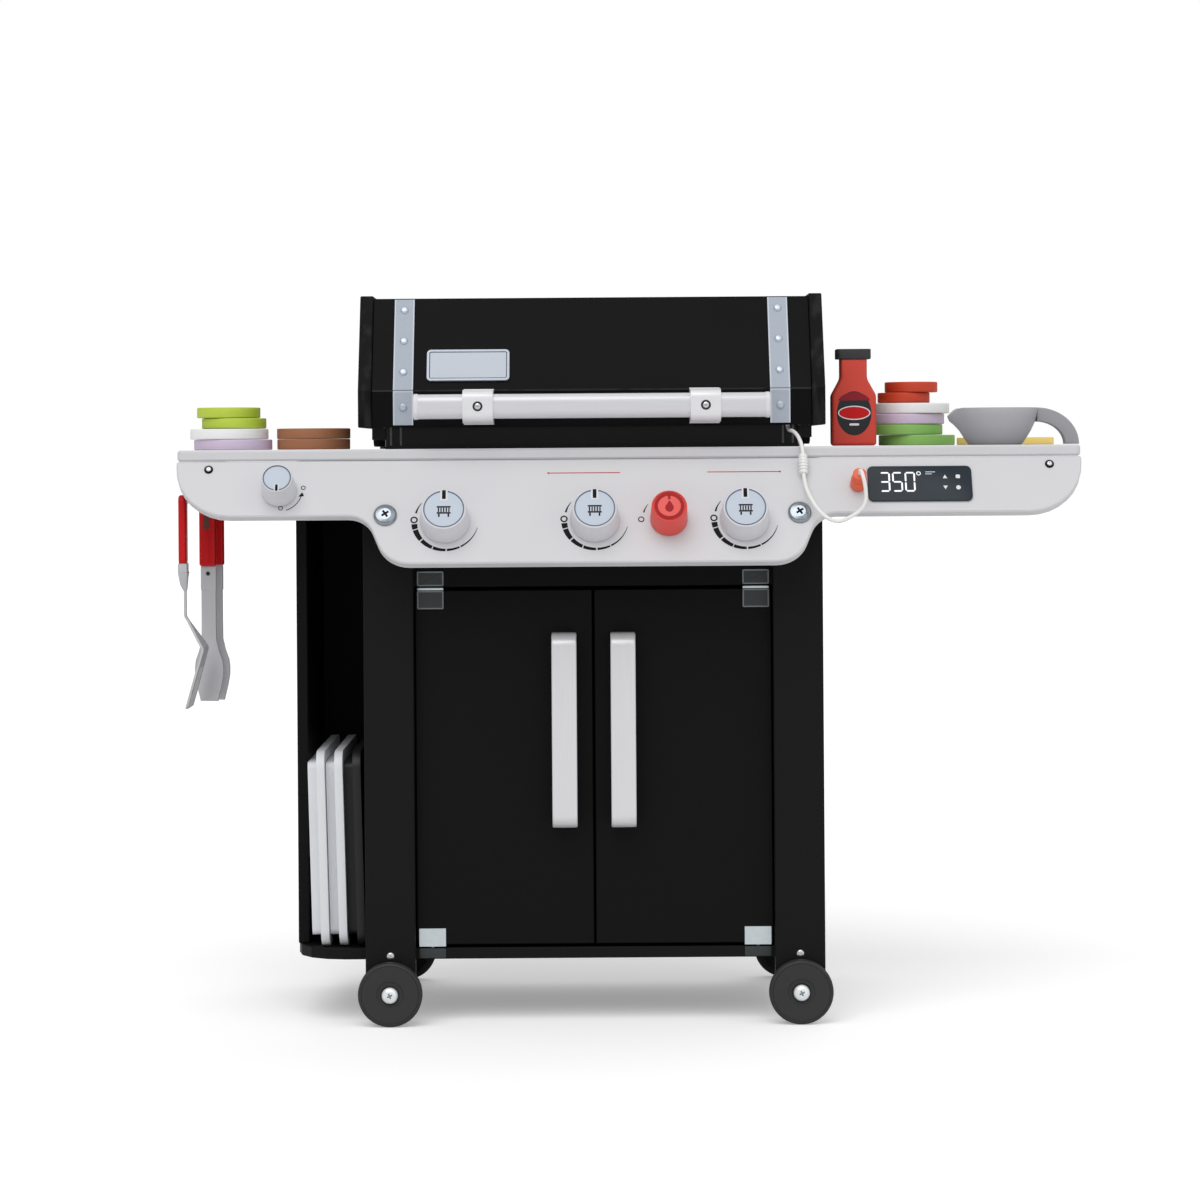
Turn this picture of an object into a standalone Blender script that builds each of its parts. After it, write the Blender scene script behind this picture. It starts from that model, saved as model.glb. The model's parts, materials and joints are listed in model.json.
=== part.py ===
"""A toy barbecue grill: a board cabinet on wheels, with a lid, doors, knobs, tools and play food.

Lengths are metres, +Z is up and the grill faces -Y. Pieces are modelled in the cabinet's frame,
whose X is measured from the middle of the doors and whose Y from the front legs' front faces.
"""

import math

import bmesh
import bpy
from mathutils import Matrix, Vector

# Fits that every piece shares
GAP = 0.0003
RUNNING = 0.00035
OVERRUN = 0.004
EDGE = 0.0008
ARC_STEPS = 4
CURVE_STEPS = 8
ROUND_STEPS = 18
SMALL_STEPS = 10
WHEEL_STEPS = 22

# Deck, the long board that everything hangs from
DECK_TOP = 0.5185
DECK_THICK = 0.010
DECK_LEFT = 0.372
DECK_RIGHT = 0.438
DECK_FRONT = 0.015
DECK_DEPTH = 0.270
DECK_CORNER = 0.006
DECK_EDGE = 0.0018

# Control panel, a board that leans back under the deck's front edge
PANEL_THICK = 0.010
PANEL_TILT_DEG = 28.0
PANEL_EDGE = 0.0012
TABLE_DROP = 0.055
MIDDLE_DROP = 0.1026
MIDDLE_HALF_TOP = 0.201
MIDDLE_HALF_BOTTOM = 0.182
TABLE_CORNER = 0.050
NECK_CORNER = 0.024
MIDDLE_CORNER = 0.030

# Legs and wheels
LEG_OUTER = 0.207
LEG_WIDE = 0.045
LEG_THICK = 0.012
WHEEL_RADIUS = 0.029
WHEEL_THICK = 0.012
WHEEL_STANDOFF = 0.002
WHEEL_ROUND = 0.0025
WHEEL_DISH_RADIUS = 0.0085
WHEEL_DISH = 0.0012
AXLE_RADIUS = 0.003
AXLE_HEAD_RADIUS = 0.0068
AXLE_HEAD = 0.003

# Cabinet boards
BOARD = 0.010
CABINET_DEPTH = 0.231
SHELF_BOTTOM = 0.0575
SHELF_CORNER = 0.045
RAIL_BOTTOM = 0.3935
RAIL_TALL = 0.0465
RACK_WIDE = 0.054
RACK_SETBACK = 0.033

# Doors and their hinges
DOOR_WIDE = 0.160
DOOR_SEAM = 0.002
DOOR_GAP = 0.003
DOOR_PIVOT_INSET = 0.014
HINGE_WIDE = 0.024
HINGE_SHEET = 0.0012
HINGE_PIN_RADIUS = 0.002
HINGE_PIN_DEEP = 0.007
DOOR_PLATE_TALL = 0.017
FOOT_PLATE_TALL = 0.015
PULL_WIDE = 0.0225
PULL_TALL = 0.175
PULL_THICK = 0.005
PULL_REACH = 0.025
PULL_BEND = 0.012
PULL_BOTTOM = 0.177
PULL_FROM_SEAM = 0.0265

# Firebox and grate
FIREBOX_HALF = 0.188
FIREBOX_FRONT = 0.024
DECK_BEHIND_FIREBOX = 0.041
FIREBOX_WALL = 0.006
FIREBOX_CORNER = 0.010
FIREBOX_RISE = 0.0265
FIREBOX_DROP = 0.0635
LEDGE_WIDE = 0.008
LEDGE_DOWN = 0.021
RIM_WIDE = 0.005
RIM_THICK = 0.002
FIREBOX_FIT = 0.0005
GRATE_THICK = 0.004
GRATE_BAR = 0.006
GRATE_SLOTS = 15
GRATE_ROWS = 2

# Lid
LID_BOARD = 0.010
LID_SIDE = 0.012
LID_HALF = 0.2107
LID_FRONT = 0.005
LID_OVER_DECK = 0.0195
LID_LOWER_TALL = 0.033
LID_UPPER_TALL = 0.085
LID_SLOPE_BACK = 0.048
LID_PAST_FIREBOX_BACK = 0.021
LID_PROUD = 0.0025
LID_PIVOT_RADIUS = 0.010
LID_PIVOT_DROP = 0.007
LID_BACK_RISE = 0.007
PIVOT_PIN_RADIUS = 0.0035
PIVOT_BOSS_RADIUS = 0.0055
EAR_RADIUS = 0.008
STOP_DEPTH = 0.016
STOP_SETBACK = 0.002
STOP_TALL = 0.0107
STOP_OVERLAP = 0.0015

# Straps, badge and handle on the lid
STRAP_WIDE = 0.018
STRAP_THICK = 0.0016
STRAP_OUT = 0.170
RIVET_RADIUS = 0.0034
RIVET_RISE = 0.0018
STRAP_END = 0.002
LOWER_RIVET_SHARES = (0.55,)
UPPER_RIVET_SHARES = (0.19, 0.525, 0.86)
BADGE_WIDE = 0.075
BADGE_TALL = 0.032
BADGE_THICK = 0.002
BADGE_LEFT = 0.149
BADGE_ALONG = 0.009
BADGE_CORNER = 0.004
HANDLE_HALF = 0.159
HANDLE_TALL = 0.022
HANDLE_DEEP = 0.018
HANDLE_ROUND = 0.007
HANDLE_UNDER_SEAM = 0.015
HANDLE_OUT = 0.024
CLIP_WIDE = 0.027
CLIP_TALL = 0.030
CLIP_FRONT = 0.003
CLIP_OUT = 0.1015
CLIP_ROUND = 0.004
CLIP_SCREW_RADIUS = 0.0042

# Knobs on the panel, as distances from the middle and down the slope
KNOB_DOWN = 0.061
KNOB_ACROSS = (-0.131, 0.002, 0.135)
KNOB_FOOT_RADIUS = 0.022
KNOB_CAP_RADIUS = 0.0195
KNOB_TALL = 0.024
RED_KNOB_ACROSS = 0.0677
RED_KNOB_FOOT_RADIUS = 0.0165
RED_KNOB_CAP_RADIUS = 0.0155
RED_KNOB_TALL = 0.027
SIDE_KNOB_ACROSS = -0.279
SIDE_KNOB_DOWN = 0.030
SIDE_KNOB_FOOT_RADIUS = 0.0155
SIDE_KNOB_CAP_RADIUS = 0.0135
SIDE_KNOB_TALL = 0.026
KNOB_RIM = 0.0016
KNOB_GROOVE = 0.0009
KNOB_ROUND = 0.0014
POINTER_WIDE = 0.0028
POINTER_LONG = 0.0085
POINTER_RISE = 0.0007
STEM_RADIUS = 0.004

# Fasteners and fittings on the panel
PANEL_BOLT_ACROSS = 0.184
PANEL_BOLT_HEAD_RADIUS = 0.010
PANEL_BOLT_HEAD = 0.0035
PANEL_BOLT_RADIUS = 0.0035
PANEL_BOLT_LONG = 0.022
SCREW_HEAD_RADIUS = 0.004
SCREW_HEAD = 0.0016
SCREW_RADIUS = 0.0015
SCREW_LONG = 0.014
SCREW_DOWN = 0.008
SCREW_FROM_END = 0.029
DISPLAY_LEFT = 0.2455
DISPLAY_WIDE = 0.093
DISPLAY_DOWN = 0.010
DISPLAY_TALL = 0.035
DISPLAY_THICK = 0.0018
DISPLAY_CORNER = 0.005
PLUG_ACROSS = 0.237
PLUG_DOWN = 0.028
PLUG_RADIUS = 0.0072
PLUG_NOSE_RADIUS = 0.0058
PLUG_LONG = 0.022
PLUG_PIN_RADIUS = 0.003
PLUG_RIB = 0.0006
PLUG_RIBS = 3
GUSSET_WIDE = 0.020
GUSSET_TALL = 0.074
BATTEN_TALL = 0.018
BATTEN_END = 0.009

# Probe cord and needle; the route is laid by hand in the cabinet's frame
CORD_RADIUS = 0.00175
CORD_STEP = 0.0075
CORD_ROUTE = (
    (0.2370, -0.0476, 0.4940),
    (0.2370, -0.0530, 0.4968),
    (0.2377, -0.0585, 0.4955),
    (0.2395, -0.0615, 0.4890),
    (0.2410, -0.0620, 0.4790),
    (0.2405, -0.0620, 0.4690),
    (0.2345, -0.0620, 0.4605),
    (0.2195, -0.0610, 0.4525),
    (0.2085, -0.0590, 0.4545),
    (0.2000, -0.0550, 0.4620),
    (0.1948, -0.0490, 0.4700),
    (0.1905, -0.0405, 0.4800),
    (0.1888, -0.0330, 0.4890),
    (0.1884, -0.0277, 0.4965),
    (0.1884, -0.0252, 0.5030),
    (0.1884, -0.0227, 0.5095),
    (0.1880, -0.0200, 0.5165),
    (0.1866, -0.0145, 0.5230),
    (0.1842, -0.0060, 0.5288),
    (0.1812, 0.0030, 0.5322),
    (0.1790, 0.0105, 0.5330),
    (0.1777, 0.0165, 0.5348),
    (0.1768, 0.0193, 0.5400),
    (0.1762, 0.0198, 0.5450),
    (0.1755, 0.0215, 0.5492),
    (0.1740, 0.0268, 0.5518),
    (0.1725, 0.0322, 0.5490),
    (0.1710, 0.0350, 0.5430),
    (0.1690, 0.0380, 0.5365),
    (0.1650, 0.0425, 0.5318),
    (0.1580, 0.0480, 0.5312),
    (0.1500, 0.0540, 0.5312),
)
NEEDLE_LONG = 0.085
NEEDLE_RADIUS = 0.0016
NEEDLE_HUB_RADIUS = 0.0026
NEEDLE_HUB_LONG = 0.014

# Spatula and tongs, which hang behind the left table
HOOK_RADIUS = 0.0016
HOOK_STEPS = 8
HOOK_STRIP = 0.002
HOOK_STRIP_HALF = 0.005
SPATULA_ACROSS = -0.3686
SPATULA_Y = 0.0
SPATULA_EYE_HEIGHT = 0.4725
SPATULA_GRIP_THICK = 0.0061
SPATULA_GRIP_WIDE = 0.018
SPATULA_GRIP_ABOVE_EYE = 0.006
SPATULA_GRIP_LONG = 0.0635
FERRULE_LONG = 0.021
FERRULE_THICK = 0.0085
STEEL_THICK = 0.0022
SPATULA_NECK_LONG = 0.0245
SPATULA_NECK_HALF = 0.0035
CRANK_OUT = 0.0178
CRANK_DOWN = 0.029
BLADE_BACK = 0.0148
BLADE_DOWN = 0.0528
BLADE_HALF_TOP = 0.020
BLADE_HALF_END = 0.024
BLADE_SLOTS = 3
BLADE_SLOT_WIDE = 0.005
BLADE_SLOT_LONG = 0.030
TONGS_ACROSS = -0.3475
TONGS_Y = 0.042
TONGS_TURN_DEG = -14.0
TONGS_EYE_HEIGHT = 0.4905
TONGS_BOW = 0.0135
TONGS_SPREAD = 0.017
TONGS_EAR = 0.003
TONGS_EAR_RADIUS = 0.0045
TONGS_ARM_THICK = 0.0026
TONGS_ARM_HALF = 0.0069
TONGS_HEAD_HALF = 0.0136
TONGS_LONG = 0.1865
TONGS_GRIP_LONG = 0.0637
TONGS_GRIP_THICK = 0.0066
TONGS_GRIP_HALF = 0.0075
# Height down the arm as a share of its length, and how far it has widened to the head
TONGS_WIDEN_SHARES = (
    (0.0, 0.0),
    (0.70, 0.05),
    (0.76, 0.45),
    (0.82, 1.0),
    (0.88, 0.95),
    (0.93, 0.68),
    (1.0, 0.06),
)

# Play food and crockery, with each slice's (distance across, depth, radius) from the bottom up
DISC_THICK = 0.0096
DISC_ROUND = 0.0012
DISC_GROOVE = 0.0015
LEFT_SLICES = (
    (-0.3335, 0.100, 0.0362),
    (-0.3370, 0.100, 0.0362),
    (-0.3325, 0.100, 0.0298),
    (-0.3375, 0.100, 0.0293),
)
PATTY_SLICES = (
    (-0.2586, 0.100, 0.0338),
    (-0.2586, 0.100, 0.0340),
)
RIGHT_SLICES = (
    (0.3040, 0.120, 0.0355),
    (0.2930, 0.120, 0.0350),
    (0.2945, 0.120, 0.0352),
    (0.2990, 0.120, 0.0355),
    (0.2920, 0.120, 0.0243),
    (0.2990, 0.120, 0.0246),
)
CHEESE_ACROSS = 0.3912
CHEESE_Y = 0.155
CHEESE_SIDE = 0.068
CHEESE_THICK = 0.0070
CHEESE_CORNER = 0.006
CHEESE_TURN_DEG = 38.0
BOTTLE_ACROSS = 0.2400
BOTTLE_Y = 0.060
BOTTLE_HALF = 0.0204
BOTTLE_NECK_HALF = 0.0121
BOTTLE_DEEP = 0.024
BOTTLE_TALL = 0.0800
BOTTLE_SHOULDER = 0.0465
BOTTLE_NECK_FOOT = 0.0600
BOTTLE_EDGE = 0.0028
CAP_WIDE = 0.0318
CAP_DEEP = 0.026
CAP_TALL = 0.0085
CAP_CORNER = 0.005
BOWL_ACROSS = 0.3664
BOWL_Y = 0.030
BOWL_TALL = 0.0335
BOWL_FOOT_RADIUS = 0.0232
BOWL_WAIST_RADIUS = 0.0380
BOWL_WAIST_HEIGHT = 0.0215
BOWL_RIM_RADIUS = 0.0388
BOWL_WALL = 0.0024
SPOUT_OUT = 0.0042
SPOUT_DIP = 0.0080
BOWL_HANDLE_REACH = 0.0755
BOWL_HANDLE_WIDE = 0.015
BOWL_HANDLE_THICK = 0.0130
BOWL_HANDLE_STEPS = 10

# Trays standing on edge in the rack
TRAY_TALL = 0.177
TRAY_LONG = 0.200
TRAY_LIP = 0.0073
TRAY_BASE = 0.0085
TRAY_STEP = 0.011
TRAY_WALL = 0.007
TRAY_FLOOR = 0.003
TRAY_CORNER = 0.012
TRAY_PITCH = 0.0164
TRAY_FRONT = 0.015
TRAY_FROM_WALL = 0.0046
TRAY_LEAN_DEG = 1.3

# Levels and places that follow from the sizes above
DECK_UNDER = DECK_TOP - DECK_THICK
DECK_BACK = DECK_DEPTH - DECK_FRONT
SHELF_TOP = SHELF_BOTTOM + BOARD
BOARDS_TOP = DECK_UNDER - GAP
CABINET_FRONT = LEG_THICK + GAP
CABINET_BACK = CABINET_FRONT + CABINET_DEPTH
REAR_LEG_FRONT = CABINET_BACK + GAP
LEG_CENTRE = LEG_OUTER - LEG_WIDE / 2
RACK_OUTER = LEG_OUTER + RACK_WIDE + BOARD
DOOR_TOP = RAIL_BOTTOM - DOOR_GAP
DOOR_BOTTOM = SHELF_TOP + DOOR_GAP
DOOR_FRONT = CABINET_FRONT
DOOR_BACK = DOOR_FRONT + BOARD
DOOR_PIVOT_X = DOOR_SEAM / 2 + DOOR_WIDE - DOOR_PIVOT_INSET
DOOR_PIVOT_Y = DOOR_FRONT + BOARD / 2
LID_BOTTOM = DECK_TOP + LID_OVER_DECK
LID_SEAM = LID_BOTTOM + LID_LOWER_TALL
LID_TOP = LID_SEAM + LID_UPPER_TALL
LID_PIVOT_HEIGHT = LID_BOTTOM - LID_PIVOT_DROP
HANDLE_HEIGHT = LID_SEAM - HANDLE_UNDER_SEAM
RIM_TOP = DECK_TOP + FIREBOX_RISE
FIREBOX_FLOOR = DECK_TOP - FIREBOX_DROP
FIREBOX_BACK = DECK_BACK - DECK_BEHIND_FIREBOX
LID_REAR = FIREBOX_BACK + LID_PAST_FIREBOX_BACK
LEDGE_HEIGHT = RIM_TOP - LEDGE_DOWN
LID_PIVOT_Y = LID_REAR - LID_PIVOT_RADIUS
LID_INNER = LID_HALF - LID_SIDE
TILT = math.radians(PANEL_TILT_DEG)
TONGS_TURN = math.radians(TONGS_TURN_DEG)
KNOB_REACH = KNOB_DOWN * math.sin(TILT) + KNOB_TALL * math.cos(TILT) + KNOB_CAP_RADIUS * math.sin(TILT)
FRONT_REACH = DECK_FRONT + KNOB_REACH
REAR_REACH = REAR_LEG_FRONT + LEG_THICK + WHEEL_STANDOFF + WHEEL_THICK + AXLE_HEAD
CABINET_X = (DECK_LEFT - DECK_RIGHT) / 2
CABINET_Y = (FRONT_REACH - REAR_REACH) / 2

# Colour, roughness and metallic value of each finish
FINISHES = {
    "black board": ((0.012, 0.012, 0.013), 0.5, 0.0),
    "white board": ((0.72, 0.72, 0.74), 0.45, 0.0),
    "black metal": ((0.02, 0.02, 0.021), 0.4, 0.3),
    "zinc": ((0.62, 0.63, 0.65), 0.3, 0.9),
    "strap blue": ((0.42, 0.48, 0.58), 0.45, 0.2),
    "silver": ((0.78, 0.78, 0.80), 0.35, 0.4),
    "hinge grey": ((0.35, 0.38, 0.39), 0.35, 0.6),
    "white plastic": ((0.75, 0.76, 0.78), 0.4, 0.0),
    "wheel black": ((0.03, 0.03, 0.03), 0.6, 0.0),
    "red": ((0.55, 0.03, 0.02), 0.4, 0.0),
    "orange red": ((0.80, 0.12, 0.05), 0.4, 0.0),
    "screen black": ((0.01, 0.012, 0.014), 0.15, 0.0),
    "tool grey": ((0.40, 0.40, 0.42), 0.45, 0.0),
    "lime": ((0.50, 0.62, 0.06), 0.55, 0.0),
    "lilac": ((0.52, 0.42, 0.55), 0.55, 0.0),
    "brown": ((0.13, 0.06, 0.03), 0.6, 0.0),
    "tomato": ((0.58, 0.05, 0.02), 0.5, 0.0),
    "green": ((0.16, 0.38, 0.08), 0.55, 0.0),
    "yellow": ((0.80, 0.48, 0.08), 0.55, 0.0),
    "bowl grey": ((0.30, 0.30, 0.32), 0.5, 0.0),
}

# Rotations that lay a turned piece's axis along another direction
UPRIGHT = Matrix()
FACING_FRONT = Matrix.Rotation(math.radians(90), 4, "X")
FACING_BACK = Matrix.Rotation(math.radians(-90), 4, "X")
FACING_RIGHT = Matrix.Rotation(math.radians(90), 4, "Y")
FACING_LEFT = Matrix.Rotation(math.radians(-90), 4, "Y")


def clear_scene():
    for obj in list(bpy.data.objects):
        bpy.data.objects.remove(obj)


def finish_material(name):
    found = bpy.data.materials.get(name)
    if found:
        return found
    colour, roughness, metallic = FINISHES[name]
    made = bpy.data.materials.new(name)
    made.use_nodes = True
    shader = made.node_tree.nodes["Principled BSDF"]
    shader.inputs["Base Color"].default_value = (*colour, 1.0)
    shader.inputs["Roughness"].default_value = roughness
    shader.inputs["Metallic"].default_value = metallic
    return made


def frame_empty(name, place, parent=None, turn=(0.0, 0.0, 0.0)):
    """An empty that pieces hang from: a joint's axis, or a surface that leans."""
    frame = bpy.data.objects.new(name, None)
    frame.location = place
    frame.rotation_euler = turn
    frame.parent = parent
    frame.empty_display_size = BOARD
    bpy.context.scene.collection.objects.link(frame)
    return frame


def piece(name, shape, finish, frame, edge=0.0, edge_steps=1, origin=(0.0, 0.0, 0.0)):
    """An object from a bmesh in the frame's coordinates, with its sharp edges eased."""
    bmesh.ops.recalc_face_normals(shape, faces=shape.faces)
    bmesh.ops.translate(shape, verts=shape.verts, vec=-Vector(origin))
    mesh = bpy.data.meshes.new(name)
    shape.to_mesh(mesh)
    shape.free()
    mesh.shade_smooth()
    mesh.set_sharp_from_angle(angle=math.radians(30))
    mesh.materials.append(finish_material(finish))
    obj = bpy.data.objects.new(name, mesh)
    obj.location = origin
    obj.parent = frame
    bpy.context.scene.collection.objects.link(obj)
    if edge:
        ease = obj.modifiers.new("eased edges", "BEVEL")
        ease.width = edge
        ease.segments = edge_steps
        ease.limit_method = "ANGLE"
        ease.angle_limit = math.radians(40)
    return obj


def carve(obj, shape, label="cut", operation="DIFFERENCE"):
    """Cuts a bmesh in the frame's coordinates out of a piece, or joins it on."""
    tool = piece(obj.name + " " + label, shape, "black metal", obj.parent)
    tool.hide_render = True
    tool.display_type = "WIRE"
    step = obj.modifiers.new(label, "BOOLEAN")
    step.operation = operation
    step.object = tool
    step.solver = "EXACT"


def add_box(shape, low, high):
    middle = (Vector(low) + Vector(high)) / 2
    size = Vector(high) - Vector(low)
    place = Matrix.Translation(middle) @ Matrix.Diagonal((*size, 1.0))
    bmesh.ops.create_cube(shape, size=1.0, matrix=place)


def add_turned(shape, profile, place=UPRIGHT, steps=ROUND_STEPS):
    """Turns (radius, height) points about Z: from axis to axis, or a closed ring round a bore."""
    rings = []
    for radius, height in profile:
        count = steps if radius > 0 else 1
        ring = []
        for step in range(count):
            angle = math.tau * (step + 0.5) / steps
            spot = Vector((radius * math.cos(angle), radius * math.sin(angle), height))
            ring.append(shape.verts.new(place @ spot))
        rings.append(ring)
    pairs = list(zip(rings, rings[1:]))
    if profile[0][0] > 0:
        pairs.append((rings[-1], rings[0]))
    for low, high in pairs:
        for step in range(steps):
            after = (step + 1) % steps
            around = [low[step % len(low)], low[after % len(low)]]
            around += [high[after % len(high)], high[step % len(high)]]
            shape.faces.new(list(dict.fromkeys(around)))


def add_rod(shape, radius, low, high, place=UPRIGHT, steps=SMALL_STEPS):
    add_turned(shape, [(0, low), (radius, low), (radius, high), (0, high)], place, steps)


def add_plate(shape, outline, low, high, plane="XZ"):
    """Extrudes an outline square to its plane, from low to high along the third axis."""

    def spot(point, depth):
        along, up = point
        if plane == "XZ":
            return Vector((along, depth, up))
        if plane == "YZ":
            return Vector((depth, along, up))
        return Vector((along, up, depth))

    near = [shape.verts.new(spot(point, low)) for point in outline]
    far = [shape.verts.new(spot(point, high)) for point in outline]
    shape.faces.new(near)
    shape.faces.new(far)
    for step in range(len(outline)):
        after = (step + 1) % len(outline)
        shape.faces.new([near[step], near[after], far[after], far[step]])


def add_ribbon(shape, stations, thick, across):
    """A strip through (along, up, half width) stations of its side view, as wide as they say."""
    spots = [Vector((along, up)) for along, up, half in stations]
    rings = []
    for step, (along, up, half) in enumerate(stations):
        before = spots[max(step - 1, 0)]
        after = spots[min(step + 1, len(spots) - 1)]
        way = (after - before).normalized()
        side = Vector((way.y, -way.x)) * thick / 2
        ring = []
        for turn, reach in ((1, half), (1, -half), (-1, -half), (-1, half)):
            spot = spots[step] + side * turn
            place = (spot.x, reach, spot.y) if across == "Y" else (reach, spot.x, spot.y)
            ring.append(shape.verts.new(place))
        rings.append(ring)
    shape.faces.new(rings[0])
    shape.faces.new(rings[-1])
    for low, high in zip(rings, rings[1:]):
        for step in range(4):
            after = (step + 1) % 4
            shape.faces.new([low[step], low[after], high[after], high[step]])


def rounded(corners, steps=ARC_STEPS):
    """The outline through (along, up, radius) corners, each turned as an arc of its radius."""
    outline = []
    for step, (along, up, radius) in enumerate(corners):
        here = Vector((along, up))
        if not radius:
            outline.append(here)
            continue
        before = (Vector(corners[step - 1][:2]) - here).normalized()
        after = (Vector(corners[(step + 1) % len(corners)][:2]) - here).normalized()
        half = before.angle(after) / 2
        centre = here + (before + after).normalized() * radius / math.sin(half)
        start = here + before * radius / math.tan(half) - centre
        end = here + after * radius / math.tan(half) - centre
        sweep = start.angle_signed(end)
        for turn in range(steps + 1):
            outline.append(centre + Matrix.Rotation(-sweep * turn / steps, 2) @ start)
    return outline


def rounded_box(left, right, low, high, radius, steps=ARC_STEPS):
    corners = ((left, low), (right, low), (right, high), (left, high))
    return rounded([(*corner, radius) for corner in corners], steps)


def at(across, depth, height, turn=UPRIGHT):
    return Matrix.Translation((across, depth, height)) @ turn


def board(name, low, high, finish, frame):
    """A plain board, with its origin in its middle."""
    shape = bmesh.new()
    add_box(shape, low, high)
    return piece(name, shape, finish, frame, EDGE, origin=(Vector(low) + Vector(high)) / 2)


def wheel_places():
    """Where each wheel's middle is: its name, distance across, depth and which way it faces."""
    front = -WHEEL_STANDOFF - WHEEL_THICK / 2
    rear = REAR_LEG_FRONT + LEG_THICK + WHEEL_STANDOFF + WHEEL_THICK / 2
    return (
        ("wheel_front_left", -LEG_CENTRE, front, FACING_FRONT),
        ("wheel_front_right", LEG_CENTRE, front, FACING_FRONT),
        ("wheel_rear_left", -LEG_CENTRE, rear, FACING_BACK),
        ("wheel_rear_right", LEG_CENTRE, rear, FACING_BACK),
    )


def legs(frame):
    """Four leg boards with round lower ends, each bored for the axle that runs through it."""
    round_end = LEG_WIDE / 2 - EDGE
    bottom = WHEEL_RADIUS - LEG_WIDE / 2
    for row, front in (("front", 0), ("rear", REAR_LEG_FRONT)):
        for side, middle in (("left", -LEG_CENTRE), ("right", LEG_CENTRE)):
            left = middle - LEG_WIDE / 2
            right = middle + LEG_WIDE / 2
            shape = bmesh.new()
            ends = ((left, bottom, round_end), (right, bottom, round_end))
            outline = rounded((*ends, (right, BOARDS_TOP, 0), (left, BOARDS_TOP, 0)))
            add_plate(shape, outline, front, front + LEG_THICK)
            obj = piece(f"leg_{row}_{side}", shape, "black board", frame, EDGE)
            hole = bmesh.new()
            place = at(middle, front, WHEEL_RADIUS, FACING_BACK)
            add_rod(hole, AXLE_RADIUS + GAP, -OVERRUN, LEG_THICK + OVERRUN, place)
            carve(obj, hole, "axle hole")


def wheels(frame):
    profile = [
        (AXLE_RADIUS + RUNNING, -WHEEL_THICK / 2),
        (WHEEL_RADIUS - WHEEL_ROUND / 2, -WHEEL_THICK / 2),
        (WHEEL_RADIUS, -WHEEL_THICK / 2 + WHEEL_ROUND / 2),
        (WHEEL_RADIUS, WHEEL_THICK / 2 - WHEEL_ROUND),
        (WHEEL_RADIUS - WHEEL_ROUND, WHEEL_THICK / 2),
        (WHEEL_DISH_RADIUS, WHEEL_THICK / 2),
        (WHEEL_DISH_RADIUS, WHEEL_THICK / 2 - WHEEL_DISH),
        (AXLE_RADIUS + RUNNING, WHEEL_THICK / 2 - WHEEL_DISH),
    ]
    for name, across, depth, facing in wheel_places():
        shape = bmesh.new()
        add_turned(shape, profile, at(across, depth, WHEEL_RADIUS, facing), WHEEL_STEPS)
        piece(name, shape, "wheel black", frame, origin=(across, depth, WHEEL_RADIUS))


def axles(frame):
    """Two rods that run from front to rear through both legs, with a domed head outside each wheel."""
    front = -WHEEL_STANDOFF - WHEEL_THICK + WHEEL_DISH
    back = REAR_LEG_FRONT + LEG_THICK + WHEEL_STANDOFF + WHEEL_THICK - WHEEL_DISH
    middle = (front + back) / 2
    head = [
        (AXLE_RADIUS, GAP),
        (AXLE_HEAD_RADIUS, GAP),
        (AXLE_HEAD_RADIUS, AXLE_HEAD / 2 + WHEEL_DISH),
        (AXLE_HEAD_RADIUS * 0.7, AXLE_HEAD + WHEEL_DISH - GAP),
        (0, AXLE_HEAD + WHEEL_DISH),
    ]
    half = (back - front) / 2
    upper = [(radius, half + height) for radius, height in head]
    lower = [(radius, -height) for radius, height in reversed(upper)]
    for side, across in (("left", -LEG_CENTRE), ("right", LEG_CENTRE)):
        shape = bmesh.new()
        add_turned(shape, lower + upper, at(across, middle, WHEEL_RADIUS, FACING_BACK), SMALL_STEPS)
        piece("axle_" + side, shape, "zinc", frame)


def bottom_shelf(frame):
    left = -RACK_OUTER
    front = ((left, CABINET_FRONT, SHELF_CORNER), (LEG_OUTER, CABINET_FRONT, 0))
    outline = rounded((*front, (LEG_OUTER, CABINET_BACK, 0), (left, CABINET_BACK, 0)))
    shape = bmesh.new()
    add_plate(shape, outline, SHELF_BOTTOM, SHELF_TOP, "XY")
    obj = piece("bottom_shelf", shape, "black board", frame, EDGE)
    carve(obj, pin_holes(SHELF_TOP, -1), "hinge pin holes")


def pin_holes(face, way):
    """The blind holes that the doors' hinge pins turn in, going up or down into a board's face."""
    holes = bmesh.new()
    reach = sorted((face - way * OVERRUN, face + way * (HINGE_PIN_DEEP + GAP)))
    for middle in (-DOOR_PIVOT_X, DOOR_PIVOT_X):
        add_rod(holes, HINGE_PIN_RADIUS + RUNNING, *reach, at(middle, DOOR_PIVOT_Y, 0))
    return holes


def cabinet_boards(frame):
    """The upright boards that stand on the shelf, under the deck."""
    bottom_shelf(frame)
    foot = SHELF_TOP + GAP
    back = CABINET_BACK - BOARD
    black = "black board"
    for side, outer in (("left", -LEG_OUTER), ("right", LEG_OUTER - BOARD)):
        rear_top = (outer + BOARD, back - GAP, BOARDS_TOP)
        board("side_panel_" + side, (outer, CABINET_FRONT, foot), rear_top, black, frame)
    board("back_panel", (-RACK_OUTER, back, foot), (LEG_OUTER, CABINET_BACK, BOARDS_TOP), black, frame)
    rack_front = CABINET_FRONT + RACK_SETBACK
    rack = (-RACK_OUTER + BOARD, back - GAP, BOARDS_TOP)
    board("rack_wall", (-RACK_OUTER, rack_front, foot), rack, black, frame)
    half = LEG_OUTER - BOARD - GAP
    top = RAIL_BOTTOM + RAIL_TALL
    rail = board("top_rail", (-half, CABINET_FRONT, RAIL_BOTTOM), (half, DOOR_BACK, top), black, frame)
    carve(rail, pin_holes(RAIL_BOTTOM, 1), "hinge pin holes")


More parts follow.
